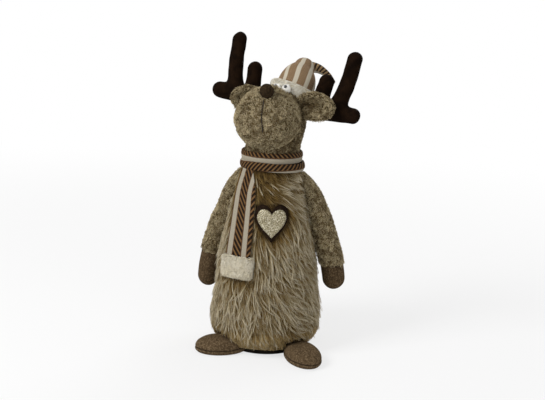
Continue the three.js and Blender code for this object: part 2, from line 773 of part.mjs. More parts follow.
const tipGroup = movingGroup(headGroup, capFold);
const tipPoints = tipPath.map(([x, y, z]) => new THREE.Vector3(x, y, z).add(capFold));
const tipCurve = new THREE.CatmullRomCurve3(tipPoints);
const tipForm = limb(tipCurve, {
  rings: 8,
  sides: 10,
  half: (u) => tipRadius + (tipEndRadius - tipRadius) * u,
  flatness: 0.8,
  deepAxis: backward,
});
const tipAcross = tipCurve.getPoint(1).sub(capFold).setZ(0).cross(new THREE.Vector3(0, 0, -1)).normalize();
const tipPasses = swung(capForm(-gap), capFold, tipAcross, [-tipDroop, 0, tipLift / 2, tipLift]);
add(tipGroup, "hat_tip", cut(tipForm, ...tipPasses), capWeave);

// Arms: a plush sleeve and a felt mitten round one stuffed limb
function armCurve(side) {
  const heights = [...spread(shoulderHeight, wristHeight, 8), (wristHeight + handBottom[side]) / 2];
  const points = [...heights, handBottom[side]].map((z) => {
    const away = THREE.MathUtils.smoothstep(armLeaves - z, 0, armLeaves - armClear);
    const radius = bodyRadius(z) + sizeAt(armStations, z) + facetSag + armStandOff[side] * away;
    return around(sideSign[side] * (90 + armAzimuth), radius, z);
  });
  return new THREE.CatmullRomCurve3(points);
}

function armForm(side, inset) {
  const curve = armCurve(side);
  return limb(curve, {
    rings: 11,
    sides: 12,
    half: (u) => sizeAt(armStations, placeOn(curve, u).z),
    flatness: armFlatness,
    inset,
    deepAxis: around(sideSign[side] * armAzimuth, 1, 0),
  });
}
for (const side of bothSides) {
  const shoulder = around(sideSign[side] * (90 + armAzimuth), bodyRadius(shoulderHeight), shoulderHeight);
  const group = movingGroup(figure, shoulder);
  add(group, `arm_${side}_stuffing`, armForm(side, shortPile + gap), wadding);
  const skin = cut(armForm(side, 0), armForm(side, shortPile));
  add(group, `arm_${side}_sleeve`, keep(skin, above(wristHeight + gap / 2)), curlyPlush);
  add(group, `mitten_${side}`, keep(skin, below(wristHeight - gap / 2)), brownFelt);
}

// Feet: a flat sole and a domed upper, sewn together low round the edge
const footProfile = [[0, 0.9], [footSeam, 1], [footThickness * 0.55, 0.93], [footThickness * 0.8, 0.74],
  [footThickness * 0.95, 0.42], [footThickness, 0.06]];

function footForm(side, inset) {
  const { x, y, heading } = footSides[side];
  const squash = (footThickness - 2 * inset) / footThickness;
  const section = (z) => {
    const scale = sizeAt(footProfile, (z - inset) / squash);
    const round = Math.max(scale, 0.06);
    return {
      x: 0,
      y: 0,
      rx: (footHalf.width - inset) * round,
      ry: (footHalf.length - inset) * round,
    };
  };
  const geometry = stack(footProfile.map(([z]) => inset + z * squash), 18, section);
  geometry.rotateZ(radians(heading));
  geometry.translate(x, y, 0);
  return geometry;
}

// What a foot must clear as it lifts: the base and the hem over it.
const heelLevels = [-reach, baseRim - gap, baseRim, ...bodyLevels.slice(1, 5)];
const heelRoom = stack(heelLevels, bodySides, (z) => {
  const size = gap + (z < baseRim ? baseRadius : bodyRadius(z));
  return { x: 0, y: 0, rx: size, ry: size };
});
for (const side of bothSides) {
  const { x, y } = footSides[side];
  const outward = new THREE.Vector3(x, y, 0).normalize();
  const hinge = outward.clone().multiplyScalar(footHinge);
  const across = new THREE.Vector3(-outward.y, outward.x, 0);
  const group = movingGroup(figure, hinge);
  const heelPasses = swung(heelRoom, hinge, across, [0, footLift]);
  const skin = cut(footForm(side, 0), footForm(side, felt), ...heelPasses);
  add(group, `foot_${side}_sole`, keep(skin, below(footSeam - gap / 2)), brownFelt);
  add(group, `foot_${side}_upper`, keep(skin, above(footSeam + gap / 2)), brownFelt);
  add(group, `foot_${side}_stuffing`, cut(footForm(side, felt + gap), ...heelPasses), wadding);
}

export default figure;
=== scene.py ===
from math import ceil, cos, pi, radians, sin, sqrt

import bpy
import numpy as np
from mathutils import Matrix, Vector
from mathutils.kdtree import KDTree


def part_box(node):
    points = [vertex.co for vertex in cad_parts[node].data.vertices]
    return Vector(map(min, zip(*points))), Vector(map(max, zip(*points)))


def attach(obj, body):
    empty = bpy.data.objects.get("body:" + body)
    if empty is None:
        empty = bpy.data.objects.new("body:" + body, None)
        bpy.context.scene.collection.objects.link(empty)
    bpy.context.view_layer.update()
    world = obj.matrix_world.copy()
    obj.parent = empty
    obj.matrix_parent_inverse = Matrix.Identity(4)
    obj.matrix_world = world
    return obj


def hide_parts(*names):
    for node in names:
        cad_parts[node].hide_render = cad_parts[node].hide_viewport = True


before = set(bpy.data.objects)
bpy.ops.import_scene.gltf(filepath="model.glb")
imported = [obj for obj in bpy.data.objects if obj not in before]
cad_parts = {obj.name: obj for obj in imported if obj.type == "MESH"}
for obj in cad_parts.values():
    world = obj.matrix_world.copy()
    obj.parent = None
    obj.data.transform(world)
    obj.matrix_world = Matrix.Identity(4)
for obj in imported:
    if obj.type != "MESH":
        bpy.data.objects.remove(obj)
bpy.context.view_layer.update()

# A plush reindeer. Lengths are in millimetres until a piece is made, and the body's front is -Y.
MM = 0.001
UP = np.array([0.0, 0.0, 1.0])

# Camera: to the figure's left, a little above its head, and rolled a little
CAMERA_AZIMUTH = radians(16)
CAMERA_PITCH = radians(12.1)
CAMERA_ROLL = radians(2.4)
CAMERA_HEIGHT = 555
CAMERA_DISTANCE = 1450
CAMERA_SIDESTEP = 5
PICTURE_WIDTH = 545
FOCAL_PIXELS = 900
SENSOR = 36


def add_object(name, data):
    made = bpy.data.objects.new(name, data)
    bpy.context.scene.collection.objects.link(made)
    return made


def make_camera():
    a, p = CAMERA_AZIMUTH, CAMERA_PITCH
    back = Vector((sin(a) * cos(p), -cos(a) * cos(p), sin(p)))
    right = Vector((cos(a), sin(a), 0))
    up = back.cross(right)
    rolled_right = right * cos(CAMERA_ROLL) + up * sin(CAMERA_ROLL)
    rolled_up = up * cos(CAMERA_ROLL) - right * sin(CAMERA_ROLL)
    place = Vector((sin(a) * CAMERA_DISTANCE, -cos(a) * CAMERA_DISTANCE, CAMERA_HEIGHT))
    place += right * CAMERA_SIDESTEP
    data = bpy.data.cameras.new("camera")
    data.sensor_width = SENSOR
    data.lens = FOCAL_PIXELS * SENSOR / PICTURE_WIDTH
    camera = add_object("camera", data)
    axes = Matrix((rolled_right, rolled_up, back)).transposed().to_4x4()
    camera.matrix_world = Matrix.Translation(place * MM) @ axes
    bpy.context.scene.camera = camera


make_camera()


# Materials
def colour(red, green, blue):
    """A colour given as it looks on a screen, from 0 to 255."""
    shown = np.array([red, green, blue]) / 255
    plain = np.where(shown <= 0.04045, shown / 12.92, ((shown + 0.055) / 1.055) ** 2.4)
    return (*(float(x) for x in plain), 1.0)


class Wire:
    """An output of a node, on which Python's operators add Math nodes."""

    def __init__(self, nodes, socket):
        self.nodes = nodes
        self.socket = socket

    def math(self, operation, *others):
        return self.nodes.node("Math", {"operation": operation}, [self, *others])

    def __add__(self, other):
        return self.math("ADD", other)

    def __mul__(self, other):
        return self.math("MULTIPLY", other)

    def __sub__(self, other):
        return self.math("SUBTRACT", other)

    def __rsub__(self, other):
        return self.nodes.node("Math", {"operation": "SUBTRACT"}, [other, self])

    def __truediv__(self, other):
        return self.math("DIVIDE", other)

    def __lt__(self, other):
        return self.math("LESS_THAN", other)

    def __gt__(self, other):
        return self.math("GREATER_THAN", other)

    def __abs__(self):
        return self.math("ABSOLUTE")

    def fraction(self):
        return self.math("FRACT")

    def zigzag(self, pitch):
        """A wave that goes straight from 1 to 0 and back in each pitch."""
        return abs((self / pitch).fraction() * 2 - 1)

    def least(self, other):
        return self.math("MINIMUM", other)

    def most(self, other):
        return self.math("MAXIMUM", other)

    def between(self, low, high, start=0.0, end=1.0):
        """From start to end, smoothly, as this goes from low to high."""
        values = [self, low, high, start, end]
        return self.nodes.node("MapRange", {"interpolation_type": "SMOOTHSTEP"}, values)


class Nodes:
    """The nodes of a material or of the world. Each new one comes from node()."""

    def __init__(self, owner):
        owner.use_nodes = True
        self.tree = owner.node_tree

    def node(self, kind, settings=None, values=(), output=0):
        made = self.tree.nodes.new("ShaderNode" + kind)
        for key, value in (settings or {}).items():
            if key == "stops":
                ramp = made.color_ramp.elements
                for i, (position, stop_colour) in enumerate(value):
                    stop = ramp[i] if i < 2 else ramp.new(position)
                    stop.position = position
                    stop.color = stop_colour
            else:
                setattr(made, key, value)
        pairs = values.items() if isinstance(values, dict) else enumerate(values)
        for key, value in pairs:
            if isinstance(value, Wire):
                self.tree.links.new(value.socket, made.inputs[key])
            else:
                made.inputs[key].default_value = value
        return Wire(self, made.outputs[output])

    def seen_rays(self):
        """1 for rays that show the background: the camera's, and those off gloss or through clear things."""
        rays = self.node("LightPath")
        outputs = rays.socket.node.outputs
        gloss, clear = (Wire(self, outputs[name]) for name in ("Is Glossy Ray", "Is Transmission Ray"))
        return rays.most(gloss).most(clear)


class Finish(Nodes):
    """A material in the making."""

    def __init__(self, name, **constants):
        self.material = bpy.data.materials.new(name)
        super().__init__(self.material)
        self.shader = self.tree.nodes["Principled BSDF"]
        self.where = None
        self.set(**constants)

    def set(self, **sockets):
        for key, value in sockets.items():
            socket = self.shader.inputs[key.replace("_", " ").title().replace("Ior", "IOR")]
            if isinstance(value, Wire):
                self.tree.links.new(value.socket, socket)
            else:
                socket.default_value = value
        return self

    def place(self, stretch=(1, 1, 1)):
        """Coordinates in the figure's frame, in millimetres."""
        if self.where is None:
            self.where = self.node("TexCoord", output=3)
        size = [1000 * x for x in stretch]
        return self.node("VectorMath", {"operation": "MULTIPLY"}, [self.where, size])

    def noise(self, grain, detail=2.0, stretch=(1, 1, 1), rough=0.5):
        """Noise from 0 to 1, with lumps of about grain millimetres."""
        values = {"Vector": self.place(stretch), "Scale": 1 / grain, "Detail": detail, "Roughness": rough}
        return self.node("TexNoise", None, values)

    def cells(self, grain, output=0):
        """Distance to the nearest of scattered points (output 0), or a colour for each (output 1)."""
        return self.node("TexVoronoi", None, {"Vector": self.place(), "Scale": 1 / grain}, output)

    def mark(self, name):
        """A number that the mesh carries at each point."""
        return self.node("Attribute", {"attribute_name": name}, output=2)

    def cloth(self):
        """Millimetres across and along a cloth, from its own map."""
        flat = self.node("UVMap", {"uv_map": "cloth"})
        parts = self.node("SeparateXYZ", None, [flat])
        along = Wire(self, parts.socket.node.outputs[1])
        return parts * 1000, along * 1000

    def weave(self, across, along, pitch):
        """The height of a plain weave's threads."""
        return across.zigzag(pitch) * 0.5 + along.zigzag(pitch) * 0.5

    def mix(self, factor, first, second):
        """Each side is a wire, or red, green and blue."""
        first, second = (side if isinstance(side, Wire) else colour(*side) for side in (first, second))
        return self.node("Mix", {"data_type": "RGBA"}, {0: factor, 6: first, 7: second}, 2)

    def ramp(self, factor, *stops):
        """Colours between stops, each a position with its red, green and blue."""
        return self.node("ValToRGB", {"stops": [(at, colour(*hue)) for at, hue in stops]}, [factor])

    def bump(self, height, depth):
        """A normal from a height of 0 to 1 that stands for depth millimetres."""
        return self.node("Bump", None, {"Strength": 1.0, "Distance": depth * MM, "Height": height})


def strand_finish(name, light, dark):
    """light and dark are a strand's colours from its root to its tip; its shade mark picks between them."""
    made = Finish(name, roughness=0.75, specular_ior_level=0.2)
    along = made.mark("along")
    hues = [made.ramp(along, *zip(np.linspace(0, 1, len(side)), side)) for side in (light, dark)]
    return made.set(base_color=made.mix(made.mark("shade"), *hues))


def backing_finish(name, low, high, depth):
    """The cloth under a pile."""
    made = Finish(name, roughness=0.95, specular_ior_level=0.15)
    clumps = made.noise(5.0, 3.0)
    fibres = made.noise(0.9, 2.0)
    spread = (clumps * 0.55 + fibres * 0.45).between(0.35, 0.65)
    made.set(base_color=made.mix(spread, low, high))
    return made.set(normal=made.bump(clumps * 0.5 + fibres * 0.5, depth))


def felt_finish(name, dark, middle, light):
    made = Finish(name, roughness=0.95, specular_ior_level=0.06)
    specks = made.noise(2.6, 4.0, rough=0.7)
    fibres = made.noise(0.8, 3.0, (1, 1, 2.2), 0.65)
    patches = made.noise(11.0, 2.0)
    heather = made.ramp(specks * 0.6 + fibres * 0.4, (0.37, dark), (0.5, middle), (0.63, light))
    worn = made.mix(patches.between(0.35, 0.7, 0.0, 0.3), heather, middle)
    made.set(base_color=made.mix(made.mark("seam"), worn, (16, 11, 8)))
    return made.set(normal=made.bump(specks * 0.5 + fibres * 0.5, 0.5))


def suede_finish():
    made = Finish("dark_suede", roughness=0.95, specular_ior_level=0.02)
    nap = made.noise(0.9, 3.0)
    patches = made.noise(13.0, 3.0)
    lit = made.mix(patches.between(0.3, 0.7), (18, 11, 7), (34, 22, 13))
    flecked = made.mix(nap.between(0.35, 0.75, 0.0, 0.5), lit, (12, 8, 5))
    made.set(base_color=made.mix(made.mark("seam"), flecked, (8, 5, 4)))
    return made.set(normal=made.bump(nap * 0.4 + patches * 0.6, 0.6))


# Scarf's weave: its cream stripes start and end at distances across it, with twill between them
SCARF_WIDTH = 45
SCARF_STRIPES = (2.0, 11.4, 29.3, 37.5)
TWILL_PITCH = 9.8
TWILL_SLOPE = 1.15
SCARF_THREAD = 0.85


def scarf_finish():
    made = Finish("scarf_weave", roughness=0.9, specular_ior_level=0.08)
    across, along = made.cloth()
    first, second, third, fourth = SCARF_STRIPES
    cream = (across > first) * (across < second) + (across > third) * (across < fourth)
    way = (across > fourth) * 2 - 1
    ridge = (along + across * way * TWILL_SLOPE).zigzag(TWILL_PITCH)
    strand = (along - across * way * 1.3).zigzag(1.1).between(0.2, 0.9)
    twill = made.mix(ridge.between(0.54, 0.66), (14, 9, 6), (114, 85, 53))
    twill = made.mix(strand * 0.15, twill, (70, 46, 30))
    weave = made.weave(across, along, SCARF_THREAD)
    linen = made.mix(weave.between(0.25, 0.75), (136, 128, 112), (172, 164, 147))
    border = (abs(across - first + 0.6) < 0.8) + (abs(across - second - 0.9) < 0.9)
    border = border + (abs(across - third + 0.9) < 0.9) + (abs(across - fourth - 0.7) < 0.7)
    edge = made.mix(along.zigzag(1.7).between(0.3, 0.7), (60, 40, 26), (102, 74, 50))
    hue = made.mix(border.least(1.0), made.mix(cream, twill, linen), edge)
    fibre = made.noise(0.5, 2.0)
    made.set(base_color=made.mix(fibre.between(0.4, 0.75, 0.0, 0.06), hue, (170, 145, 115)))
    height = cream * weave * 0.35 + (1 - cream) * (ridge * 0.7 + strand * 0.3)
    return made.set(normal=made.bump(height, 0.4))


# Cap's weave: stripes that run up it, of which CAP_CREAM is the cream share
CAP_STRIPE = 20.0
CAP_CREAM = 0.37
CAP_THREAD = 0.8
HERRINGBONE = 3.4
TIP_BAR = 5.6
TIP_PLAIN = 29


def cap_finish():
    made = Finish("cap_weave", roughness=0.9, specular_ior_level=0.15)
    across, along = made.cloth()
    stripe = (across / CAP_STRIPE + CAP_CREAM / 2).fraction()
    inside = (stripe - CAP_CREAM) / (1 - CAP_CREAM)
    bar = (inside.zigzag(1 / 3) * 4.0 + along).zigzag(HERRINGBONE)
    bone = made.mix(bar.between(0.36, 0.6), (80, 58, 38), (158, 131, 100))
    weave = made.weave(across, along, CAP_THREAD)
    linen = made.mix(weave.between(0.2, 0.8), (178, 169, 149), (204, 196, 178))
    hue = made.mix(stripe < CAP_CREAM, bone, linen)
    fibre = made.noise(0.6, 2.0)
    made.set(base_color=made.mix(fibre.between(0.4, 0.75, 0.0, 0.15), hue, (190, 170, 142)))
    return made.set(normal=made.bump(weave * 0.4 + bar * 0.4 + fibre * 0.2, 0.35))


def tip_finish():
    made = Finish("cap_tip_weave", roughness=0.9, specular_ior_level=0.15)
    across, along = made.cloth()
    bar = (along - across * 0.2).zigzag(TIP_BAR)
    bars = made.mix(bar.between(0.42, 0.6), (38, 26, 17), (150, 124, 90))
    hue = made.mix(abs(across - TIP_PLAIN) < 8.5, bars, (172, 164, 148))
    fibre = made.noise(0.6, 2.0)
    made.set(base_color=made.mix(fibre.between(0.4, 0.75, 0.0, 0.05), hue, (190, 170, 142)))
    return made.set(normal=made.bump(bar * 0.7 + fibre * 0.3, 0.5))


def glitter_finish():
    made = Finish("gold_glitter", metallic=0.4)
    level = made.node("SeparateColor", None, [made.cells(1.0, 1)])
    edge = made.cells(1.0)
    flake = made.ramp(level, (0.0, (92, 81, 54)), (0.4, (142, 132, 102)), (0.75, (180, 171, 142)),
                      (1.0, (246, 240, 220)))
    made.set(base_color=made.mix(edge.between(0.35, 0.7, 0.0, 0.4), flake, (88, 78, 52)))
    made.set(roughness=level.between(0.0, 1.0, 0.28, 0.6))
    return made.set(normal=made.bump(level * 0.7 + edge * 0.3, 0.5))


def plain_finish(name, hue, other, grain, depth, **constants):
    made = Finish(name, **constants)
    speck = made.noise(grain, 3.0)
    made.set(base_color=made.mix(speck.between(0.3, 0.7), hue, other))
    return made.set(normal=made.bump(speck, depth))


long_fur = strand_finish("long_fur", [(128, 106, 64), (192, 175, 138), (224, 213, 184), (238, 230, 208)],
                         [(60, 44, 16), (107, 82, 39), (135, 109, 59), (157, 133, 84)])
under_fur = strand_finish("under_fur", [(74, 55, 22), (126, 98, 49), (150, 122, 67), (170, 144, 91)],
                          [(36, 25, 8), (70, 51, 20), (95, 73, 33), (113, 91, 48)])
hem_fur = strand_finish("hem_fur", [(104, 82, 42), (166, 140, 92), (196, 172, 124), (214, 194, 152)],
                        [(66, 49, 20), (120, 94, 49), (150, 122, 70), (172, 146, 96)])
curls = strand_finish("curly_pile", [(118, 99, 63), (188, 168, 126), (222, 205, 165), (240, 228, 196)],
                      [(48, 37, 19), (86, 71, 44), (108, 91, 60), (130, 112, 79)])
cream_pile = strand_finish("cream_pile", [(226, 216, 192), (240, 234, 217), (246, 242, 230), (250, 247, 239)],
                           [(182, 167, 134), (206, 194, 165), (218, 208, 182), (226, 217, 194)])
long_backing = backing_finish("long_fur_backing", (46, 34, 16), (88, 69, 38), 1.2)
curly_backing = backing_finish("curly_backing", (78, 63, 40), (124, 105, 73), 1.0)
cream_backing = backing_finish("cream_backing", (216, 206, 182), (238, 231, 214), 0.8)
# The ear's cloth is darker than the head's; where it shows bare in each ear's hollow, that dark is painted
# shade.
ear_backing = backing_finish("ear_backing", (48, 37, 21), (86, 71, 46), 1.0)
pad_backing = backing_finish("pad_backing", (196, 184, 154), (220, 210, 184), 0.8)
brown_felt = felt_finish("brown_felt", (46, 36, 24), (88, 72, 52), (136, 116, 90))
mitten_felt = felt_finish("mitten_felt", (38, 29, 18), (76, 61, 43), (120, 101, 77))
nose_felt = felt_finish("nose_felt", (22, 16, 9), (42, 32, 21), (72, 57, 39))
heart_felt = felt_finish("heart_felt", (18, 12, 8), (32, 22, 14), (50, 36, 25))
base_felt = felt_finish("base_felt", (14, 12, 10), (28, 24, 19), (46, 40, 32))
dark_suede = suede_finish()
scarf_weave = scarf_finish()
cap_weave = cap_finish()
cap_tip_weave = tip_finish()
gold_glitter = glitter_finish()
eye_white = plain_finish("eye_white", (236, 234, 228), (228, 225, 216), 3.0, 0.02,
                         roughness=0.25, coat_weight=0.4, coat_roughness=0.1)
pupil_black = plain_finish("pupil_black", (12, 12, 14), (18, 18, 20), 1.0, 0.02,
                           roughness=0.15, coat_weight=0.5, coat_roughness=0.05)
dark_thread = plain_finish("dark_thread", (32, 27, 23), (20, 17, 15), 0.4, 0.1, roughness=0.8)
board_finish = plain_finish("board", (150, 122, 86), (166, 139, 102), 1.5, 0.1, roughness=0.85)
bag_finish = plain_finish("ballast_cloth", (196, 178, 138), (208, 192, 154), 0.8, 0.2, roughness=0.95)


# Meshes
def grid_faces(rows, columns):
    """Quads over rows of points, with each row's end joined to its start."""
    j = np.arange(columns)
    k = (j + 1) % columns
    starts = (np.arange(rows - 1) * columns)[:, None]
    quads = np.stack([starts + j, starts + k, starts + columns + k, starts + columns + j], axis=-1)
    return quads.reshape(-1, 4)


def triangle_corners(solid):
    points, quads, fans = solid
    triangles = np.vstack([quads[:, [0, 1, 2]], quads[:, [0, 2, 3]], fans])
    return (points[triangles[:, i]] for i in range(3))


def outward(points, quads, fans):
    """The solid with its faces turned so that its volume is positive."""
    a, b, c = triangle_corners((points, quads, fans))
    if np.einsum("ij,ij->i", a, np.cross(b, c)).sum() < 0:
        quads, fans = quads[:, ::-1], fans[:, ::-1]
    return points, quads, fans


def loft(rings):
    """A closed solid through rings of points, with a fan over each end."""
    rings = np.asarray(rings, float)
    rows, columns = rings.shape[:2]
    points = np.vstack([rings.reshape(-1, 3), rings[0].mean(0), rings[-1].mean(0)])
    start, end = rows * columns, rows * columns + 1
    last = (rows - 1) * columns
    j = np.arange(columns)
    k = (j + 1) % columns
    fans = np.vstack([
        np.stack([np.full(columns, start), k, j], 1),
        np.stack([np.full(columns, end), last + j, last + k], 1),
    ])
    return outward(points, grid_faces(rows, columns), fans)


def ring_loft(rings):
    """A closed solid through rings of points, whose last ring joins the first."""
    rings = np.asarray(rings, float)
    rows, columns = rings.shape[:2]
    quads = grid_faces(rows + 1, columns) % (rows * columns)
    return outward(rings.reshape(-1, 3), quads, np.zeros((0, 3), int))


def join_solids(solids):
    starts = np.cumsum([0] + [len(points) for points, _, _ in solids])
    quads = [quads + start for (_, quads, _), start in zip(solids, starts)]
    fans = [fans + start for (_, _, fans), start in zip(solids, starts)]
    return np.vstack([points for points, _, _ in solids]), np.vstack(quads), np.vstack(fans)


def make_mesh(name, solid):
    points, quads, fans = solid
    mesh = bpy.data.meshes.new(name)
    mesh.vertices.add(len(points))
    mesh.vertices.foreach_set("co", (points * MM).astype(np.float32).ravel())
    corners = np.concatenate([quads.ravel(), fans.ravel()]).astype(np.int32)
    sizes = np.concatenate([np.full(len(quads), 4), np.full(len(fans), 3)]).astype(np.int32)
    mesh.loops.add(len(corners))
    mesh.loops.foreach_set("vertex_index", corners)
    mesh.polygons.add(len(sizes))
    mesh.polygons.foreach_set("loop_start", np.concatenate([[0], np.cumsum(sizes)[:-1]]).astype(np.int32))
    mesh.polygons.foreach_set("use_smooth", np.ones(len(sizes), bool))
    mesh.update(calc_edges=True)
    return mesh


def set_mark(mesh, name, values):
    attribute = mesh.attributes.new(name, "FLOAT", "POINT")
    attribute.data.foreach_set("value", np.asarray(values, np.float32))


def set_map(mesh, name, flat):
    """A map from a flat place for each corner of each face."""
    layer = mesh.uv_layers.new(name=name)
    layer.data.foreach_set("uv", np.asarray(flat, np.float32).ravel())


def corner_values(faces, flat, wrap, seam):
    """A flat place for each corner of each face. A face that crosses the cloth's join counts on past wrap,
    or, where its two edges are sewn with no match, keeps to one of them."""
    values = flat[faces].copy()
    if len(values):
        for axis in (0, 1):
            spot = values[..., axis]
            top = spot.max(1, keepdims=True)
            if wrap:
                spot += wrap * (spot < top - wrap / 2)
            if seam:
                np.copyto(spot, np.broadcast_to(top, spot.shape), where=spot < top - seam)
    return values.reshape(-1, 2)


def add_piece(name, mesh, finish, body):
    mesh.materials.append(finish.material)
    made = add_object(name, mesh)
    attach(made, body)
    return made


def make_piece(name, solid, finish, body, stands_for, seams=None, cloth=None, wrap=0, seam=0):
    """A piece of the figure. seams marks its sewn places from 0 to 1, and cloth gives each point's place on
    its flat cloth, which meets itself after wrap."""
    mesh = make_mesh(name, solid)
    if seams is not None:
        set_mark(mesh, "seam", seams)
    if cloth is not None:
        flats = [corner_values(faces, cloth, wrap, seam) for faces in solid[1:]]
        set_map(mesh, "cloth", np.vstack(flats) * MM)
    made = add_piece(name, mesh, finish, body)
    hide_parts(*stands_for)
    return made


STRAND_SIDES = 3


def taper(count, stops, wide, seed):
    """Half widths along strands: thin at the root, full half-way and nothing at the tip."""
    t = np.linspace(0, 1, stops)
    profile = np.minimum(0.55 + 0.45 * t / 0.5, 1.0) * np.sqrt(np.clip(1.04 - t, 0, 1))
    return (wide * np.random.default_rng(seed).uniform(0.75, 1.25, count))[:, None] * profile


def strand_faces(stops):
    """A strand's quads and triangles, its root closed, with a flat place for each of their corners."""
    tip, span = STRAND_SIDES * (stops - 1), stops - 1
    quads, quad_flat = [], []
    fans, fan_flat = [[0, 2, 1]], [(0.1, -0.18), (0.9, -0.18), (0.5, -0.06)]
    for k in range(span):
        for j in range(STRAND_SIDES):
            corners = [(j, k), (j + 1, k), (j + 1, k + 1), (j, k + 1)]
            numbers = [STRAND_SIDES * up + turn % STRAND_SIDES for turn, up in corners]
            flat = [(turn / STRAND_SIDES, up / span) for turn, up in corners]
            if k < span - 1:
                quads.append(numbers)
                quad_flat += flat
            else:
                fans.append([*numbers[:2], tip])
                fan_flat += [*flat[:2], ((j + 0.5) / STRAND_SIDES, 1)]
    return np.array(quads), np.array(quad_flat), np.array(fans), np.array(fan_flat)


def make_strands(name, paths, wide, shade, finish, body, seed):
    """Closed three-sided slivers along paths of points, each ending in a tip."""
    count, stops = paths.shape[:2]
    radius = taper(count, stops, wide, seed)
    tangent = unit(np.gradient(paths, axis=1))
    side = unit(np.cross(tangent, np.random.default_rng(seed).normal(size=(count, 1, 3))))
    other = np.cross(tangent, side)
    turn = spokes(STRAND_SIDES)
    spoke = side[:, :, None] * np.cos(turn)[:, None] + other[:, :, None] * np.sin(turn)[:, None]
    rings = paths[:, :-1, None] + spoke[:, :-1] * radius[:, :-1, None, None]
    points = np.concatenate([rings.reshape(count, -1, 3), paths[:, -1:]], axis=1)
    each = points.shape[1]
    quads, quad_flat, fans, fan_flat = strand_faces(stops)
    first = (np.arange(count) * each)[:, None, None]
    solid = points.reshape(-1, 3), (first + quads).reshape(-1, 4), (first + fans).reshape(-1, 3)
    mesh = make_mesh(name, solid)
    along = np.append(np.repeat(np.arange(stops - 1) / (stops - 1), STRAND_SIDES), 1.0)
    set_mark(mesh, "along", np.tile(along, count))
    set_mark(mesh, "shade", np.repeat(shade, each))
    columns = ceil(sqrt(count * 2))
    cell = np.stack([np.arange(count) % columns, np.arange(count) // columns], 1)[:, None]
    size = [columns, ceil(count / columns)]
    corner = cell + [0.1, 0.2]
    flats = [((corner + flat * [0.8, 0.75]) / size).reshape(-1, 2) for flat in (quad_flat, fan_flat)]
    set_map(mesh, "OFBake", np.vstack(flats))
    add_piece(name, mesh, finish, body)


# Curves and forms
def part(value, start, end):
    """How far value is from start to end, kept from 0 to 1."""
    return np.clip((value - start) / (end - start), 0, 1)


def ease(t):
    return t * t * (3 - 2 * t)


def unit(vectors):
    vectors = np.asarray(vectors, float)
    return vectors / (np.linalg.norm(vectors, axis=-1, keepdims=True) + 1e-12)


def spokes(count, shift=0.0):
    """Angles evenly round a circle."""
    return 2 * pi * (np.arange(count) + shift) / count


def curve_through(spots, sizes, slopes, place):
    """A smooth curve through sizes at spots, with the slope of each, read at places."""
    i = np.clip(np.searchsorted(spots, place, side="right") - 1, 0, len(spots) - 2)
    length = spots[i + 1] - spots[i]
    t = (place - spots[i]) / length
    if sizes.ndim > 1:
        t, length = t[:, None], length[:, None]
    even = (2 * t**3 - 3 * t**2 + 1) * sizes[i] + (3 * t**2 - 2 * t**3) * sizes[i + 1]
    return even + (t**3 - 2 * t**2 + t) * slopes[i] * length + (t**3 - t**2) * slopes[i + 1] * length


def size_at(stations, place):
    """A smooth curve through stations of place and size, read at many places."""
    spots, sizes = np.array(stations, float).T
    slopes = np.gradient(sizes, spots)
    slopes[1:-1] = (sizes[2:] - sizes[:-2]) / (spots[2:] - spots[:-2])
    return curve_through(spots, sizes, slopes, np.clip(place, spots[0], spots[-1]))


def around(azimuth, radius, height):
    """Points at azimuths in degrees (0 is the front, positive to the figure's left)."""
    a = np.radians(azimuth)
    return np.stack(np.broadcast_arrays(radius * np.sin(a), -radius * np.cos(a), height), axis=-1)


def azimuths(count):
    return np.arange(count) * 360 / count


def revolve(profile, columns):
    """Rings from a profile of radius and height."""
    return np.array([around(azimuths(columns), radius, height) for radius, height in profile])


def ellipse(angle, rx, ry, x=0.0, y=0.0, z=0.0):
    """A level ring of points."""
    return np.stack(np.broadcast_arrays(x + rx * np.cos(angle), y + ry * np.sin(angle), z), axis=-1)


def ball(centre, half, rings, columns):
    polar = np.linspace(0.02, 0.98, rings) * pi
    rows = [ellipse(spokes(columns), np.sin(p), np.sin(p), z=np.cos(p)) for p in polar]
    return loft(np.array(rows) * np.broadcast_to(half, 3) + np.asarray(centre))


def run_along(line):
    """How far along a line each of its points is."""
    return np.append(0.0, np.cumsum(np.linalg.norm(np.diff(line, axis=0), axis=1)))


def read_rows(rows, run, places):
    """Rows of numbers that stand at the distances of run, read at places."""
    return np.stack([np.interp(places, run, column) for column in rows.T], axis=1)


def even_points(line, count):
    run = run_along(line)
    return read_rows(line, run, np.linspace(0, run[-1], count))


def smooth_path(corners, count):
    """Evenly spaced points on a smooth curve through corners."""
    corners = np.array(corners, float)
    gaps = np.sqrt(np.linalg.norm(np.diff(corners, axis=0), axis=1))
    spots = np.append(0.0, np.cumsum(gaps))
    slopes = np.gradient(corners, spots, axis=0)
    return even_points(curve_through(spots, corners, slopes, np.linspace(0, spots[-1], 400)), count)


def limb(line, half, deep, rings, sides, flatness=1.0):
    """A tube with round ends along a line of points; half gives its half width at each place from 0 to 1."""
    run = run_along(line)
    length = run[-1]
    u = (1 - np.cos(pi * (np.arange(rings) + 0.35) / (rings - 0.3))) / 2
    middle = read_rows(line, run, u * length)
    tangent = unit(read_rows(unit(np.gradient(line, axis=0)), run, u * length))
    across = unit(np.cross(tangent, deep))
    depth = np.cross(across, tangent)
    full = half(u)
    from_end = np.minimum(u, 1 - u) * length
    wide = np.where(from_end >= full, full, np.sqrt(np.maximum(from_end * (2 * full - from_end), 0)))
    angle = spokes(sides, 0.5)
    spoke = across[:, None] * np.cos(angle)[:, None] + depth[:, None] * (flatness * np.sin(angle))[:, None]
    return middle[:, None] + spoke * wide[:, None, None]


def turning(turn, roll):
    """The matrix of a roll about Y and then a turn about Z."""
    return np.array(Matrix.Rotation(radians(turn), 3, "Z") @ Matrix.Rotation(radians(roll), 3, "Y"))


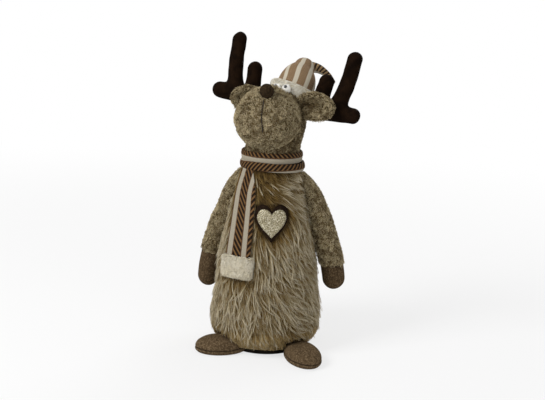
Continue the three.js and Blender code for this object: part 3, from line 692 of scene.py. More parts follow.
def tilting(way):
    """The matrix that turns UP to a way."""
    return np.array(Vector(UP).rotation_difference(Vector(way)).to_matrix())


def squared(values, power=0.6):
    return np.sign(values) * np.abs(values) ** power


def waves(points, size, seed):
    """A slow, even wander from -1 to 1 over points, with lumps of about size."""
    rng = np.random.default_rng(seed)
    total = np.zeros(len(points))
    for _ in range(6):
        way = unit(rng.normal(size=3)) * 2 * pi / (size * rng.uniform(1.4, 2.6))
        total += np.sin(points @ way + rng.uniform(0, 2 * pi))
    return total / 2.6


def scatter(solid, count, seed):
    """Places and outward directions spread evenly by area over a solid."""
    rng = np.random.default_rng(seed)
    a, b, c = triangle_corners(solid)
    cross = np.cross(b - a, c - a)
    area = np.linalg.norm(cross, axis=1)
    pick = rng.choice(len(area), size=count, p=area / area.sum())
    s, t = rng.random((2, count))
    flip = s + t > 1
    s, t = np.where(flip, 1 - s, s), np.where(flip, 1 - t, t)
    place = a[pick] + (b - a)[pick] * s[:, None] + (c - a)[pick] * t[:, None]
    return place, unit(cross[pick])


def bulge(solid, size, depth, seed):
    """The solid with slow lumps, as stuffing gives it."""
    points, quads, fans = solid
    middle = points.mean(0)
    way = unit(points - middle)
    return points + way * (waves(points, size, seed) * depth)[:, None], quads, fans


CURL_STOPS = 5


def curl_paths(places, ways, length, rise, seed, comb=None, follow=0.0):
    """Short curls that rise from a cloth, bend over and turn back in. comb is a way that they tend to lie."""
    rng = np.random.default_rng(seed)
    count = len(places)
    lay = rng.normal(size=(count, 3))
    if comb is not None:
        lay = unit(lay) * (1 - follow) + unit(comb) * follow
    lay = unit(lay - ways * (lay * ways).sum(1, keepdims=True))
    side = np.cross(ways, lay)
    long = length * rng.uniform(0.7, 1.25, count)
    high = rise * rng.uniform(0.65, 1.25, count)
    bend = rng.uniform(-1, 1, count)
    t = np.linspace(0, 1, CURL_STOPS)
    up = np.sin(t * pi * 0.72)
    reach = t**1.3
    swirl = np.sin(t * pi * 1.2) * 0.45
    paths = places[:, None] - ways[:, None] * 0.6
    paths = paths + ways[:, None] * (high[:, None] * up)[:, :, None]
    paths = paths + lay[:, None] * (long[:, None] * reach)[:, :, None]
    return paths + side[:, None] * ((long * bend)[:, None] * swirl)[:, :, None]


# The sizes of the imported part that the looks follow
GAP = 0.35
BASE_RADIUS = 66
BASE_RIM = 14
NECK_HEIGHT = 312
NECK_RADIUS = 42
BODY_STATIONS = [
    (BASE_RIM, 74), (30, 83.5), (55, 86), (100, 80.5), (160, 74.5), (240, 58), (NECK_HEIGHT, NECK_RADIUS),
]
SKULL = np.array([8.0, 8.0, 376.0])
SKULL_TOP = np.array([8.0, 4.0, 62.0])
SKULL_HALF = (40.5, 45.0)
MUZZLE = SKULL + [-9, -34, 5]
MUZZLE_HALF = np.array([51.5, 47.0, 49.0])


def body_radius(height):
    return size_at(BODY_STATIONS, height)


# Body: the cloth is a tube with its hem turned under, and its pile is combed down and to the figure's left
def make_body():
    outer = np.linspace(BASE_RIM + 1.2, NECK_HEIGHT + 1, 90)
    profile = [(body_radius(z), z) for z in outer[::-1]]
    profile += [(72.5, BASE_RIM + 0.5), (69.5, BASE_RIM + 0.7), (68, BASE_RIM + 2.5)]
    inner = np.linspace(BASE_RIM + 8, NECK_HEIGHT - 1, 24)
    profile += [(body_radius(z) - 6, z) for z in inner]
    points, quads, fans = ring_loft(revolve(profile, 128))
    lumps = waves(points, 34, 11) * 0.9 * (points[:, 2] > BASE_RIM + 3)
    points = points + unit(points * [1, 1, 0]) * lumps[:, None]
    make_piece("body_cloth", (points, quads, fans), long_backing, "body",
               ("body_front_panel", "body_back_panel", "body_stuffing"))


make_body()


WRAP_BOTTOM = 299.5
TAIL_TOP = WRAP_BOTTOM - 1.5 - GAP
TAIL_BOTTOM = 158
TAIL_X = -27
TAIL_LIFT = 1.2
TAIL_BEND = 150
TAIL_NARROW = 28
TAIL_FULL_BELOW = 255
TAIL_CUFF_TOP = 166
TAIL_CUFF_BOTTOM = 131
TAIL_CUFF_HALF = 28


def tail_share(height):
    """How far down its tail the scarf is at a height."""
    return part(height, TAIL_TOP, TAIL_CUFF_TOP)


def tail_facing(height):
    """The azimuth that the tail faces at a height."""
    return -34 + 21 * tail_share(height)


def tail_at(across, out, height):
    """Points of the scarf's tail, across it and out from the body."""
    t = tail_share(height)
    radius = body_radius(height) + GAP + t * t * 4.75 + TAIL_LIFT
    facing = tail_facing(height)
    point = np.stack(np.broadcast_arrays(TAIL_X, -np.sqrt(radius**2 - TAIL_X**2), height), axis=-1)
    point = point + around(facing + 90, 1.0, 0.0) * np.expand_dims(across, -1)
    return point + around(facing, 1.0, 0.0) * np.expand_dims(out - across**2 / (2 * TAIL_BEND), -1)


def tail_width(height):
    t = part(height, TAIL_TOP, TAIL_FULL_BELOW)
    return TAIL_NARROW + (SCARF_WIDTH - TAIL_NARROW) * np.sin(t * pi / 2)


HEART_AZIMUTH = 20.7
HEART_HEIGHT = 219
HEART_FELT_SIZE = (54, 58)
HEART_GLITTER_SIZE = (45, 44.6)
HEART_CURVES = [
    [(0, 0.3), (0.04, 0.42), (0.14, 0.5), (0.27, 0.5)],
    [(0.27, 0.5), (0.41, 0.5), (0.5, 0.38), (0.5, 0.2)],
    [(0.5, 0.2), (0.5, -0.04), (0.2, -0.28), (0, -0.5)],
]


def heart_outline(size, steps=18):
    t = np.linspace(0, 1, steps, endpoint=False)[:, None]
    half = []
    for a, b, c, d in np.array(HEART_CURVES):
        half.append((1 - t) ** 3 * a + 3 * (1 - t) ** 2 * t * b + 3 * (1 - t) * t**2 * c + t**3 * d)
    right = np.vstack([*half, [[0, -0.5]]])
    left = right[1:-1][::-1] * [-1, 1]
    return np.vstack([right, left]) * size


def flat_on_body(points):
    """Azimuth-wise and up-wise millimetres from the heart's middle."""
    azimuth = np.degrees(np.arctan2(points[..., 0], -points[..., 1]))
    radius = np.hypot(points[..., 0], points[..., 1])
    return np.radians(azimuth - HEART_AZIMUTH) * radius, points[..., 2] - HEART_HEIGHT


def in_heart(points, room):
    x, y = flat_on_body(points)
    outline = heart_outline(np.array(HEART_FELT_SIZE) + 2 * room, 6)
    inside = np.zeros(x.shape, bool)
    for (x1, y1), (x2, y2) in zip(outline, np.roll(outline, -1, axis=0)):
        if y1 != y2:
            crosses = (y1 > y) != (y2 > y)
            inside ^= crosses & (x < (x2 - x1) * (y - y1) / (y2 - y1) + x1)
    return inside


def in_tail(points, room):
    height = points[..., 2]
    sideways = around(tail_facing(height) + 90, 1.0, 0.0)
    across = ((points - tail_at(np.zeros(height.shape), 0, height)) * sideways).sum(-1)
    half = np.where(height < TAIL_CUFF_TOP + 1, TAIL_CUFF_HALF, tail_width(height) / 2)
    level = (height > TAIL_CUFF_BOTTOM - room) & (height < TAIL_TOP + 6)
    return level & (points[..., 1] < 0) & (np.abs(across) < half + room)


ARM_AZIMUTH = 15
SHOULDER = 291
SHOULDER_PILE_LOW = 262
WRIST = 140
ARM_STAND_OFF = {"left": 15, "right": 18.5}
HAND_BOTTOM = {"left": 97, "right": 75}
ARM_STATIONS = [(60, 18), (110, 18.5), (140, 18.5), (200, 18.5), (241, 16), (265, 12.8), (281, 8.8), (296, 4)]
SIDES = {"left": 1, "right": -1}


def arm_line(side):
    hand = HAND_BOTTOM[side]
    heights = np.append(np.linspace(SHOULDER, WRIST, 9), [(WRIST + hand) / 2, hand])
    away = ease(part(heights, 245, 100))
    radius = body_radius(heights) + size_at(ARM_STATIONS, heights) + 0.4 + ARM_STAND_OFF[side] * away
    radius = radius - 4.5 * part(heights, 258, 288)
    return smooth_path(around(SIDES[side] * (90 + ARM_AZIMUTH), radius, heights), 200)


def distance_to_line(points, line):
    """Distance of each point to a polyline."""
    best = np.full(len(points), 1e9)
    for a, b in zip(line[:-1], line[1:]):
        along = b - a
        t = np.clip((points - a) @ along / (along @ along), 0, 1)
        best = np.minimum(best, np.linalg.norm(points - a - t[:, None] * along, axis=1))
    return best


def in_arms(points, room):
    flat = points.reshape(-1, 3)
    inside = np.zeros(len(flat), bool)
    for side in SIDES:
        line = arm_line(side)[::14]
        inside |= distance_to_line(flat, line) < size_at(ARM_STATIONS, flat[:, 2]) + np.ravel(room)
    return inside.reshape(points.shape[:-1])


FOOT_HALF = (28.0, 43.5)
FOOT_HEIGHT = 25
FOOT_SEAM = 5
FOOT_SIDES = {"left": (84.5, -63, 37), "right": (-51.5, -70.5, -60)}
FOOT_PROFILE = [(0, 0.9), (FOOT_SEAM, 1), (13.75, 0.97), (19.5, 0.84), (23.4, 0.55), (FOOT_HEIGHT, 0.06)]


def in_feet(points, room):
    inside = np.zeros(points.shape[:-1], bool)
    for x, y, heading in FOOT_SIDES.values():
        turn = radians(heading)
        east, north = points[..., 0] - x, points[..., 1] - y
        u = (east * cos(turn) + north * sin(turn)) / (FOOT_HALF[0] + room)
        v = (north * cos(turn) - east * sin(turn)) / (FOOT_HALF[1] + room)
        width = size_at(FOOT_PROFILE, np.clip(points[..., 2] - room, 0, FOOT_HEIGHT))
        inside |= (np.hypot(u, v) < width) & (points[..., 2] < FOOT_HEIGHT + room)
    return inside


def comb(azimuth, height):
    """How far the pile leans from straight down towards the figure's left, in degrees."""
    turned = (azimuth + 180) % 360 - 180
    left = part(turned, 2, 52) * part(turned, 165, 105)
    right = part(turned, -12, -42) * part(turned, -150, -90)
    chest = part(height, 215, 260) * part(turned, -20, 20) * part(turned, 100, 40)
    return 6 + 33 * left + 26 * chest - 14 * right


def body_paths(azimuth, height, length, lift, seed, stops):
    """Strands that lie down the body, rooted at an azimuth and a height."""
    rng = np.random.default_rng(seed)
    count = len(azimuth)
    roots = around(azimuth, body_radius(height), height)
    lean = comb(azimuth, height) + 16 * waves(roots, 40, seed + 1) + rng.normal(0, 9, count)
    curve = rng.normal(0, 9, count) + 10 * waves(roots, 22, seed + 2)
    high = lift * rng.uniform(0.45, 1.6, count) * (1 - 0.5 * np.exp(-(((azimuth + 95) / 35) ** 2)))
    a, z, places = azimuth, height, []
    for k in range(stops):
        t = k / (stops - 1)
        radius = body_radius(z) - np.clip(BASE_RIM - z, 0, 20) * 0.8
        raise_by = high * (0.1 + 0.9 * sqrt(t)) - 0.5 * (t == 0)
        places.append(around(a, radius + raise_by, z))
        step = length / (stops - 1)
        slope = np.where(z < 50, 0.86, 0.97)
        z = z - step * np.cos(np.radians(lean)) * slope * np.where(z < BASE_RIM, 0.4, 1.0)
        a = a + np.degrees(step * np.sin(np.radians(lean)) / radius)
        lean = lean + curve / (stops - 1) * 2
    paths = np.stack(places, axis=1)
    paths[:, :, 2] = np.maximum(paths[:, :, 2], 12.0)
    return paths


def clump(paths, centres, pull, seed):
    """Strands drawn towards the nearest of some of their own number, more so at the tips."""
    rng = np.random.default_rng(seed)
    chosen = rng.choice(len(paths), size=centres, replace=False)
    tree = KDTree(centres)
    for i, k in enumerate(chosen):
        tree.insert(paths[k, 0], i)
    tree.balance()
    nearest = np.array([tree.find(root)[1] for root in paths[:, 0]])
    t = np.linspace(0, 1, paths.shape[1])[None, :, None]
    drawn = pull * rng.uniform(0.6, 1.0, len(paths))[:, None, None] * t
    leaders = paths[chosen[nearest]]
    tones = rng.random(centres)[nearest]
    return paths * (1 - drawn) + leaders * drawn, tones


def chest_shadow_share(heights, azimuth, low, side):
    """Where painted shadow falls under the scarf: 1 above low on the chest and 0 round it. The chest ends at
    the azimuth of side.
    """
    return part(heights, low, low + 20) * part(azimuth, side, side - 20)


SIDE_SPREAD = 92
WIDEST = 90


def body_roots(rng, count, centre, low, high, bare=0.0):
    """Heights and azimuths spread evenly over a side of the body. bare is the share left out on the chest,
    where fewer pale strands paint the shadow under the scarf.
    """
    heights = rng.uniform(low, high, count)
    azimuth = centre + rng.uniform(-SIDE_SPREAD, SIDE_SPREAD, count)
    here = body_radius(heights) * (1 - bare * chest_shadow_share(heights, azimuth, 240, 40))
    kept = rng.random(count) * WIDEST < here
    return heights[kept], azimuth[kept]


def body_fur(name, finish, count, centre, length, lift, wide, stops, clumps, pull, light, seed,
             low=BASE_RIM + 2, high=WRAP_BOTTOM + 3, least=0.1, pressed=False):
    """Fur rooted from low to high. light is the share of pale strands, which falls to least of that at
    the hem. pressed fur lies flat under the scarf's end and the arms."""
    rng = np.random.default_rng(seed)
    heights, azimuth = body_roots(rng, count * 3, centre, low, high)
    long = length * np.interp(heights, [14, 40, 235, 290], [0.62, 1.0, 0.95, 0.6])
    long = long * rng.uniform(0.7, 1.2, len(heights))
    thin = np.interp(heights, [14, 30, 240, 290], [0.8, 1, 1, 0.75])
    paths = body_paths(azimuth, heights, long, lift * thin, seed, stops)
    paths, tones = clump(paths, int(clumps * len(paths) / count), pull, seed)
    over_arm = np.where(paths[..., 2] > SHOULDER_PILE_LOW, -3.0, 0.5)
    covered = (in_tail(paths, 0.5) | in_arms(paths, over_arm)).any(1)
    clear = (covered == pressed) & ~(in_heart(paths, 0.8) | in_feet(paths, 0.3)).any(1)
    clear &= paths[:, 1:, 2].max(1) < WRAP_BOTTOM + 1
    paths, tones, heights, azimuth = (each[clear][:count] for each in (paths, tones, heights, azimuth))
    # Painted shadow under the scarf: fewer pale strands and darker shades on the chest.
    chest = chest_shadow_share(heights, azimuth, 245, 45)
    share = light * np.clip((heights - 20) / 30, least, 1) * (1 - 0.8 * chest)
    own = rng.random(len(paths))
    shade = np.where(tones < share, 0.4 * own, 0.55 + 0.45 * own) + 0.3 * chest
    make_strands(name, paths, wide, shade, finish, "body", seed)


def body_wisps(name, count, hairs, centre, length, lift, wide, seed):
    """Thin locks of a few hairs that lie close together, paler than the rest."""
    stops = 6
    rng = np.random.default_rng(seed)
    # Most pale wisps are left off the chest, as painted shadow under the scarf.
    heights, azimuth = body_roots(rng, count * 3, centre, 30, WRAP_BOTTOM - 4, bare=0.85)
    long = length * rng.uniform(0.65, 1.2, len(heights))
    long = long * np.interp(heights, [30, 60, 240, 290], [0.7, 1, 0.9, 0.6])
    stray = np.where(rng.random(len(heights)) < 0.12, 1.4, 1.0)
    leaders = body_paths(azimuth, heights, long, lift * stray, seed, stops)
    met = in_heart(leaders, 1.5) | in_tail(leaders, 1.5) | in_feet(leaders, 1.0) | in_arms(leaders, 0.5)
    clear = ~met.any(1)
    clear &= leaders[:, 1:, 2].max(1) < WRAP_BOTTOM - 1
    leaders = leaders[clear][:count]
    spread = rng.normal(0, 0.8, (len(leaders), hairs, 1, 3)) * [0.75, 0.75, 2.2]
    t = np.linspace(0, 1, stops)[:, None]
    swing = rng.normal(0, 0.9, (len(leaders), hairs, 1, 3)) * t**2 * [1, 1, 0.4]
    paths = leaders[:, None] + spread * (1 - 0.75 * t) + swing
    paths = paths.reshape(-1, stops, 3)
    shade = np.repeat(rng.uniform(0, 0.3, len(leaders)), hairs) + rng.uniform(0, 0.15, len(paths))
    make_strands(name, paths, wide, shade, long_fur, "body", seed)


for where, facing in (("front", 0), ("back", 180)):
    body_fur(f"body_underfur_{where}", under_fur, count=11500, centre=facing, length=17, lift=3.4, wide=0.6,
             stops=4, clumps=2000, pull=0.5, light=0.5, seed=21 + facing)
    body_fur(f"body_long_fur_{where}", long_fur, count=7000, centre=facing, length=30, lift=5.0, wide=0.36,
             stops=5, clumps=1000, pull=0.9, light=0.12, seed=31 + facing)
    body_wisps(f"body_wisps_{where}", count=1400, hairs=5, centre=facing, length=41, lift=6.0, wide=0.28,
               seed=41 + facing)
    body_fur(f"body_pressed_fur_{where}", long_fur, count=11000, centre=facing, length=21, lift=1.3, wide=0.5,
             stops=4, clumps=2500, pull=0.5, light=0.15, seed=71 + facing, pressed=True)
    body_fur(f"body_hem_fur_{where}", hem_fur, count=2600, centre=facing, length=30, lift=7.0, wide=0.4,
             stops=5, clumps=500, pull=0.7, light=0.6, seed=61 + facing, high=50, least=1.0)


# Base: a dark felt cup
CUP_INSIDE = BASE_RADIUS - 1.8
cup = [(CUP_INSIDE - 2, 1.8), (CUP_INSIDE, 2.4), (CUP_INSIDE, BASE_RIM - 0.6), (BASE_RADIUS - 0.9, BASE_RIM),
       (BASE_RADIUS, BASE_RIM - 0.6), (BASE_RADIUS, 1.2), (BASE_RADIUS - 1.2, 0), (BASE_RADIUS - 4, 0)]
make_piece("base_cup", loft(revolve(cup, 128)), base_felt, "body", ("base_cover",))


# Heart: a glitter face on a felt backing
def heart_plate(size, profile, count=16):
    """profile(share) gives the height over the body's cloth of back and face, at a share of the way out."""
    outline = heart_outline(size)
    back = [(share, 0) for share in np.linspace(0.06, 1, count)]
    face = [(share, 1) for share in np.linspace(1, 0.06, count)]
    rings = []
    for share, top in back + face:
        x, y = (outline * share).T
        z = HEART_HEIGHT + y
        radius = body_radius(z) + profile(share)[top]
        rings.append(around(HEART_AZIMUTH + np.degrees(x / body_radius(z)), radius, z))
    return loft(rings)


def backing_profile(share):
    return 0.4, 3.0 - 1.3 * max(share - 0.9, 0) * 10


def face_profile(share):
    return 2.6, 4.2 - 1.1 * (max(share - 0.86, 0) / 0.14) ** 2 + 0.35 * (1 - share)


make_piece("heart_felt", heart_plate(HEART_FELT_SIZE, backing_profile), heart_felt, "body",
           ("heart_backing",))
face_solid = heart_plate(HEART_GLITTER_SIZE, face_profile, count=40)
grit = np.random.default_rng(5).normal(0, 0.07, face_solid[0].shape)
make_piece("heart_glitter", (face_solid[0] + grit, *face_solid[1:]), gold_glitter, "body",
           ("heart_face",))


# Scarf: two turns round the neck and an end that hangs
def rope(across, along):
    """Height of the twill's ropes from 0 to 1, and 0 on the plain stripes."""
    first, second, third, fourth = SCARF_STRIPES
    plain = ((across > first) & (across < second)) | ((across > third) & (across < fourth))
    way = np.where(across > fourth, 1, -1)
    ridge = np.abs(((along + across * way * TWILL_SLOPE) / TWILL_PITCH) % 1 * 2 - 1)
    return np.where(plain, 0.0, ridge)


WRAP_LENGTH = TWILL_PITCH * 40
UPPER_TURN = [
    (45.0, 328.2), (46.4, 328.7), (48.0, 327.2), (48.9, 322.5), (48.8, 317.0),
    (47.8, 312.0), (46.0, 311.0), (45.1, 314.0), (44.9, 321.0), (44.9, 327.0),
]
LOWER_TURN = [
    (48.3, 313.4), (49.4, 313.2), (50.6, 311.0), (51.6, 307.0), (51.4, 303.0),
    (50.2, 299.9), (48.3, 299.6), (46.5, 302.0), (45.9, 307.0), (46.4, 312.0),
]


def make_band(name, profile, middle, start, way, tuck, tucked, droop, seed):
    """One turn of the scarf, which droops on the left. profile is a closed one of radius and height."""
    profile = np.array(profile)
    run = run_along(profile)
    fine = np.linspace(0, run[-1], 84)
    radii, heights = read_rows(profile, run, fine).T
    azimuth = azimuths(560)
    along = way * azimuth / 360 * WRAP_LENGTH
    left = np.maximum(np.sin(np.radians(azimuth)), 0)
    rows, flats = [], []
    for place, radius, height in zip(fine, radii, heights):
        across = start + place + tuck * np.cos(np.radians(azimuth - tucked))
        spots = around(azimuth, radius + 0.5 * droop * left, height - droop * left)
        face = np.clip(min(place, run[-1] / 2 - place) / 2 + 0.5, 0, 1)
        wander = waves(spots * [1, 1, 0.3], 45, seed) * 0.8 + 0.7 * rope(across, along) * face
        out = spots * [1, 1, 0] / radius
        rows.append(spots + out * wander[:, None] + [middle, 0, 0])
        flats.append(np.stack([across, along], 1))
    made = make_piece(name, ring_loft(rows), scarf_weave, "body", ("scarf_wrap",),
                      cloth=np.vstack(flats), wrap=WRAP_LENGTH)


make_band("scarf_upper_turn", UPPER_TURN, middle=1.4, start=18.6, way=1, tuck=0.0, tucked=0, droop=0.0,
          seed=41)
make_band("scarf_lower_turn", LOWER_TURN, middle=2.3, start=12.6, way=-1, tuck=6.0, tucked=80, droop=2.2,
          seed=43)


def make_tail():
    columns, rows = 96, 300
    rings, flats = [], []
    for height in np.linspace(TAIL_TOP + 2.5, TAIL_BOTTOM, rows):
        level = np.full(columns, height)
        width = float(tail_width(height))
        x = np.linspace(0, width, columns)
        edge = np.clip(np.minimum(x, width - x) / 1.2, 0, 1)
        along = TAIL_TOP - height
        ripple = 0.5 * np.sin(x / width * 2 * pi * 1.5 + along / 37)
        ripple = ripple * np.clip(along / 30, 0, 1) * (1 - along / 160)
        front = 1.0 + 0.7 * rope(x, along) * edge + 0.5 * np.sqrt(edge) + ripple
        back = 0.45 * (1 - edge) + ripple
        face = tail_at(x - width / 2, front, level)
        rear = tail_at((x - width / 2)[::-1], back[::-1], level)
        rings.append(np.vstack([face, rear]))
        flats.append(np.stack([np.append(x, x[::-1]), np.full(2 * columns, along)], 1))
    middle = [flats[0].mean(0), flats[-1].mean(0)]
    made = make_piece("scarf_end", loft(rings), scarf_weave, "scarf_end", ("scarf_tail",),
                      cloth=np.vstack([*flats, middle]))


def make_tail_pad():
    top, bottom = TAIL_CUFF_TOP - 5, TAIL_CUFF_BOTTOM + 2
    middle, half_height = (top + bottom) / 2, (top - bottom) / 2
    angle = spokes(64, 0.5)
    rings = []
    for tilt in np.linspace(0.93, -0.93, 30) * pi / 2:
        height = middle + half_height * sin(tilt)
        fullness = cos(tilt) ** 0.4
        across = (TAIL_CUFF_HALF - 2) * squared(np.cos(angle), 0.5) * (0.86 + 0.14 * fullness)
        out = 5.0 * squared(np.sin(angle)) * fullness
        rings.append(tail_at(across, 0.75 + out, np.full(64, height)))
    pad = bulge(loft(rings), size=20, depth=0.5, seed=7)
    make_piece("scarf_end_pad", pad, pad_backing, "scarf_end", ("scarf_tail_cuff",))
    return pad


pad_solid = make_tail_pad()
make_tail()


TUFT = 6


def make_pile(name, solid, finish, body, slot, count, length, rise, wide, seed, keep=None, pull=0.5,
              light=0.5, spread=0.9, keep_off=None, painted_shade=None, tries=3, **lay):
    """Short pile in tufts over a solid, where keep allows its roots and keep_off doesn't meet it. spread is
    how far its tufts differ, and the painted-shade function, where given, darkens some places."""
    places, ways = scatter(solid, count if keep is None else count * tries, seed)
    if keep is not None:
        kept = keep(places + ways * 1.5)
        places, ways = places[kept][:count], ways[kept][:count]
    paths = curl_paths(places, ways, length, rise, seed + 1, **lay)
    paths, tones = clump(paths, len(paths) // TUFT, pull, seed + 2)
    if keep_off is not None:
        clear = ~keep_off(paths)
        paths, tones, places = paths[clear], tones[clear], places[clear]
    own = np.random.default_rng(seed).random(len(paths))
    shade = 0.5 + spread * (tones - light) + 0.6 * (own - 0.5) + 0.1 * waves(places, 11, seed)
    # Painted shade: the strands darken at the places that the given function picks.
    if painted_shade is not None:
        shade = shade + painted_shade(places)
    make_strands(name, paths, wide, np.clip(shade, 0, 1), finish, body, seed)


make_pile("scarf_end_pile", pad_solid, cream_pile, "scarf_end", "cream_fur", count=9000, length=7.0,
          rise=3.4, wide=0.5, seed=51, pull=0.3, light=0.0, spread=0.5, comb=-UP, follow=0.35)


# Head: a skull on a neck, and a ball for a muzzle
def skull_section(height):
    """Middle and half widths of the skull at heights."""
    t = part(height, NECK_HEIGHT, SKULL[2])
    s = part(height, SKULL[2], SKULL[2] + SKULL_TOP[2])
    moved, filled = ease(t), 1 - (1 - t) ** 2
    rounded = np.sqrt(np.maximum(1 - s * s, 0))
    below = height <= SKULL[2]
    x, y = (np.where(below, SKULL[k] * moved, SKULL[k] + SKULL_TOP[k] * s) for k in range(2))
    rx, ry = (np.where(below, NECK_RADIUS + (half - NECK_RADIUS) * filled, half * rounded)
              for half in SKULL_HALF)
    return x, y, rx, ry


def make_skull():
    low = np.linspace(NECK_HEIGHT + GAP, SKULL[2], 24)
    high = SKULL[2] + SKULL_TOP[2] * np.sin(np.linspace(0.06, 0.985, 26) * pi / 2)
    rings = []
    for height in np.append(low, high):
        x, y, rx, ry = skull_section(height)
        rings.append(ellipse(spokes(96), rx, ry, x, y, height))
    return bulge(loft(rings), size=30, depth=0.7, seed=61)


def in_skull(points):
    x, y, rx, ry = skull_section(points[..., 2])
    rx, ry = np.maximum(rx, 1e-6), np.maximum(ry, 1e-6)
    level = ((points[..., 0] - x) / rx) ** 2 + ((points[..., 1] - y) / ry) ** 2
    return (level < 1) & (points[..., 2] > NECK_HEIGHT) & (points[..., 2] < SKULL[2] + SKULL_TOP[2])


def in_ball(points, centre, half):
    return (((points - centre) / half) ** 2).sum(-1) < 1


STITCH_TOP = (3, 34)
STITCH_BOTTOM = (6, -17)


def stitch_line(lift):
    t = np.linspace(0, 1, 60)
    x = STITCH_TOP[0] + (STITCH_BOTTOM[0] - STITCH_TOP[0]) * t + 0.5 * np.sin(t * 9)
    z = STITCH_TOP[1] + (STITCH_BOTTOM[1] - STITCH_TOP[1]) * t
    half = MUZZLE_HALF + lift
    y = -half[1] * np.sqrt(1 - (x / half[0]) ** 2 - (z / half[2]) ** 2)
    return np.stack([x, y, z], 1) + MUZZLE


def make_muzzle():
    plain = ball(MUZZLE, MUZZLE_HALF, rings=72, columns=96)
    points, quads, fans = bulge(plain, size=26, depth=0.8, seed=62)
    away = distance_to_line(points, stitch_line(0)[::6])
    way = unit(points - MUZZLE)
    fold = np.abs(points[:, 2] - MUZZLE[2] + 13 - 2 * np.cos(points[:, 0] / 14)) / 3.5
    dent = 1.5 * np.exp(-((away / 4) ** 2)) + 1.6 * np.exp(-(fold**2)) * (points[:, 1] < MUZZLE[1]) + 1.2
    return points - way * dent[:, None], quads, fans


skull_solid = make_skull()
muzzle_solid = make_muzzle()
make_piece("head_cloth", skull_solid, curly_backing, "head",
           ("head_skin", "head_stuffing"))
make_piece("muzzle_cloth", muzzle_solid, curly_backing, "head",
           ("muzzle_skin", "muzzle_stuffing"))

# Face: a felt nose, two glued domes that look up, and one long stitch
NOSE = MUZZLE + [6, -30.5, 46.4]
NOSE_RADIUS = 11.3
EYES = SKULL + [9, -25, 53]
EYE_RADIUS = 7.7
EYE_PLACES = {side: EYES + [sign * 8, 0, 0] for side, sign in SIDES.items()}
GAZE = np.array([0, -0.8, 0.6])
nose_ball = ball(NOSE, [NOSE_RADIUS, NOSE_RADIUS * 0.97, NOSE_RADIUS], rings=40, columns=56)
nose_solid = bulge(nose_ball, size=14, depth=0.3, seed=8)
make_piece("nose_ball", nose_solid, nose_felt, "head", ("nose",))
for side, eye in EYE_PLACES.items():
    make_piece(f"eye_{side}_dome", ball(eye, EYE_RADIUS, rings=32, columns=40), eye_white, "head",
               (f"eye_{side}_white",))
    points, quads, fans = ball([0, 0, 0], [2.9, 2.9, 1.6], rings=20, columns=28)
    points = points @ tilting(GAZE).T + (eye + GAZE * EYE_RADIUS)
    make_piece(f"eye_{side}_black", (points, quads, fans), pupil_black, "head",
               (f"eye_{side}_pupil",))

thread = limb(stitch_line(0.9), lambda u: 0.65 + 0 * u, -UP + [0, -1, 0], rings=120, sides=8)
make_piece("mouth_thread", loft(thread), dark_thread, "head", ("mouth_stitch",))


FACE_PILE_LOW = 326
HEAD_PILE_LOW = 324


def in_eyes(points, room):
    return np.logical_or.reduce([in_ball(points, eye, EYE_RADIUS + room) for eye in EYE_PLACES.values()])


def off_face(points):
    covered = in_skull(points) | in_ball(points, NOSE, NOSE_RADIUS + 0.5) | in_eyes(points, 0.3)
    return ~covered & (points[:, 2] > FACE_PILE_LOW)


def over_stitch(paths):
    flat = paths.reshape(-1, 3)
    near = np.minimum.reduce([distance_to_line(flat, stitch_line(lift)[::6]) for lift in (-1, 1, 3, 5)])
    return (near < 0.85).reshape(paths.shape[:2]).any(1)


def near_eyes(points, offset, reach):
    return off_face(points) & (np.linalg.norm(points - EYES - offset, axis=1) < reach)


def by_eyes(points):
    return near_eyes(points, [2, -7, -7], 19) & (points[:, 2] > EYES[2] - 16)


def by_right_eye(points):
    return near_eyes(points, [-9, -9, -7], 10)


def through_eyes(paths):
    return in_eyes(paths, 0.4).any(1)


def off_skull(points):
    return ~in_ball(points, MUZZLE, MUZZLE_HALF) & (points[:, 2] > HEAD_PILE_LOW)


make_pile("muzzle_pile", muzzle_solid, curls, "head", "curly_plush", count=9000, length=6.6, rise=3.8,
          wide=0.55, seed=71, keep=off_face, keep_off=over_stitch)
make_pile("brow_pile", muzzle_solid, curls, "head", "curly_plush", count=450, length=6.0, rise=6.0,
          wide=0.5, seed=78, keep=by_eyes, tries=40, keep_off=through_eyes, comb=[0, 1, 0.4], follow=0.35)
make_pile("brow_pile_right", muzzle_solid, curls, "head", "curly_plush", count=120, length=4.5, rise=3.4,
          wide=0.5, seed=79, keep=by_right_eye, tries=200, keep_off=through_eyes, comb=[0, 1, 0.4],
          follow=0.3)
# The head and neck pile is darker than the muzzle's, as painted shade under the muzzle.
make_pile("head_pile", skull_solid, curls, "head", "curly_plush", count=8000, length=6.6, rise=3.8,
          wide=0.55, seed=74, keep=off_skull, light=0.2)


# Ears: cups that open forward
EAR_HALF = np.array([31.5, 10.0, 21.0])
EAR_SIDES = {"left": (SKULL + [64.3, -22.5, 28.5], -8, 4), "right": (SKULL + [-46, -10, 30.5], 2, 6)}


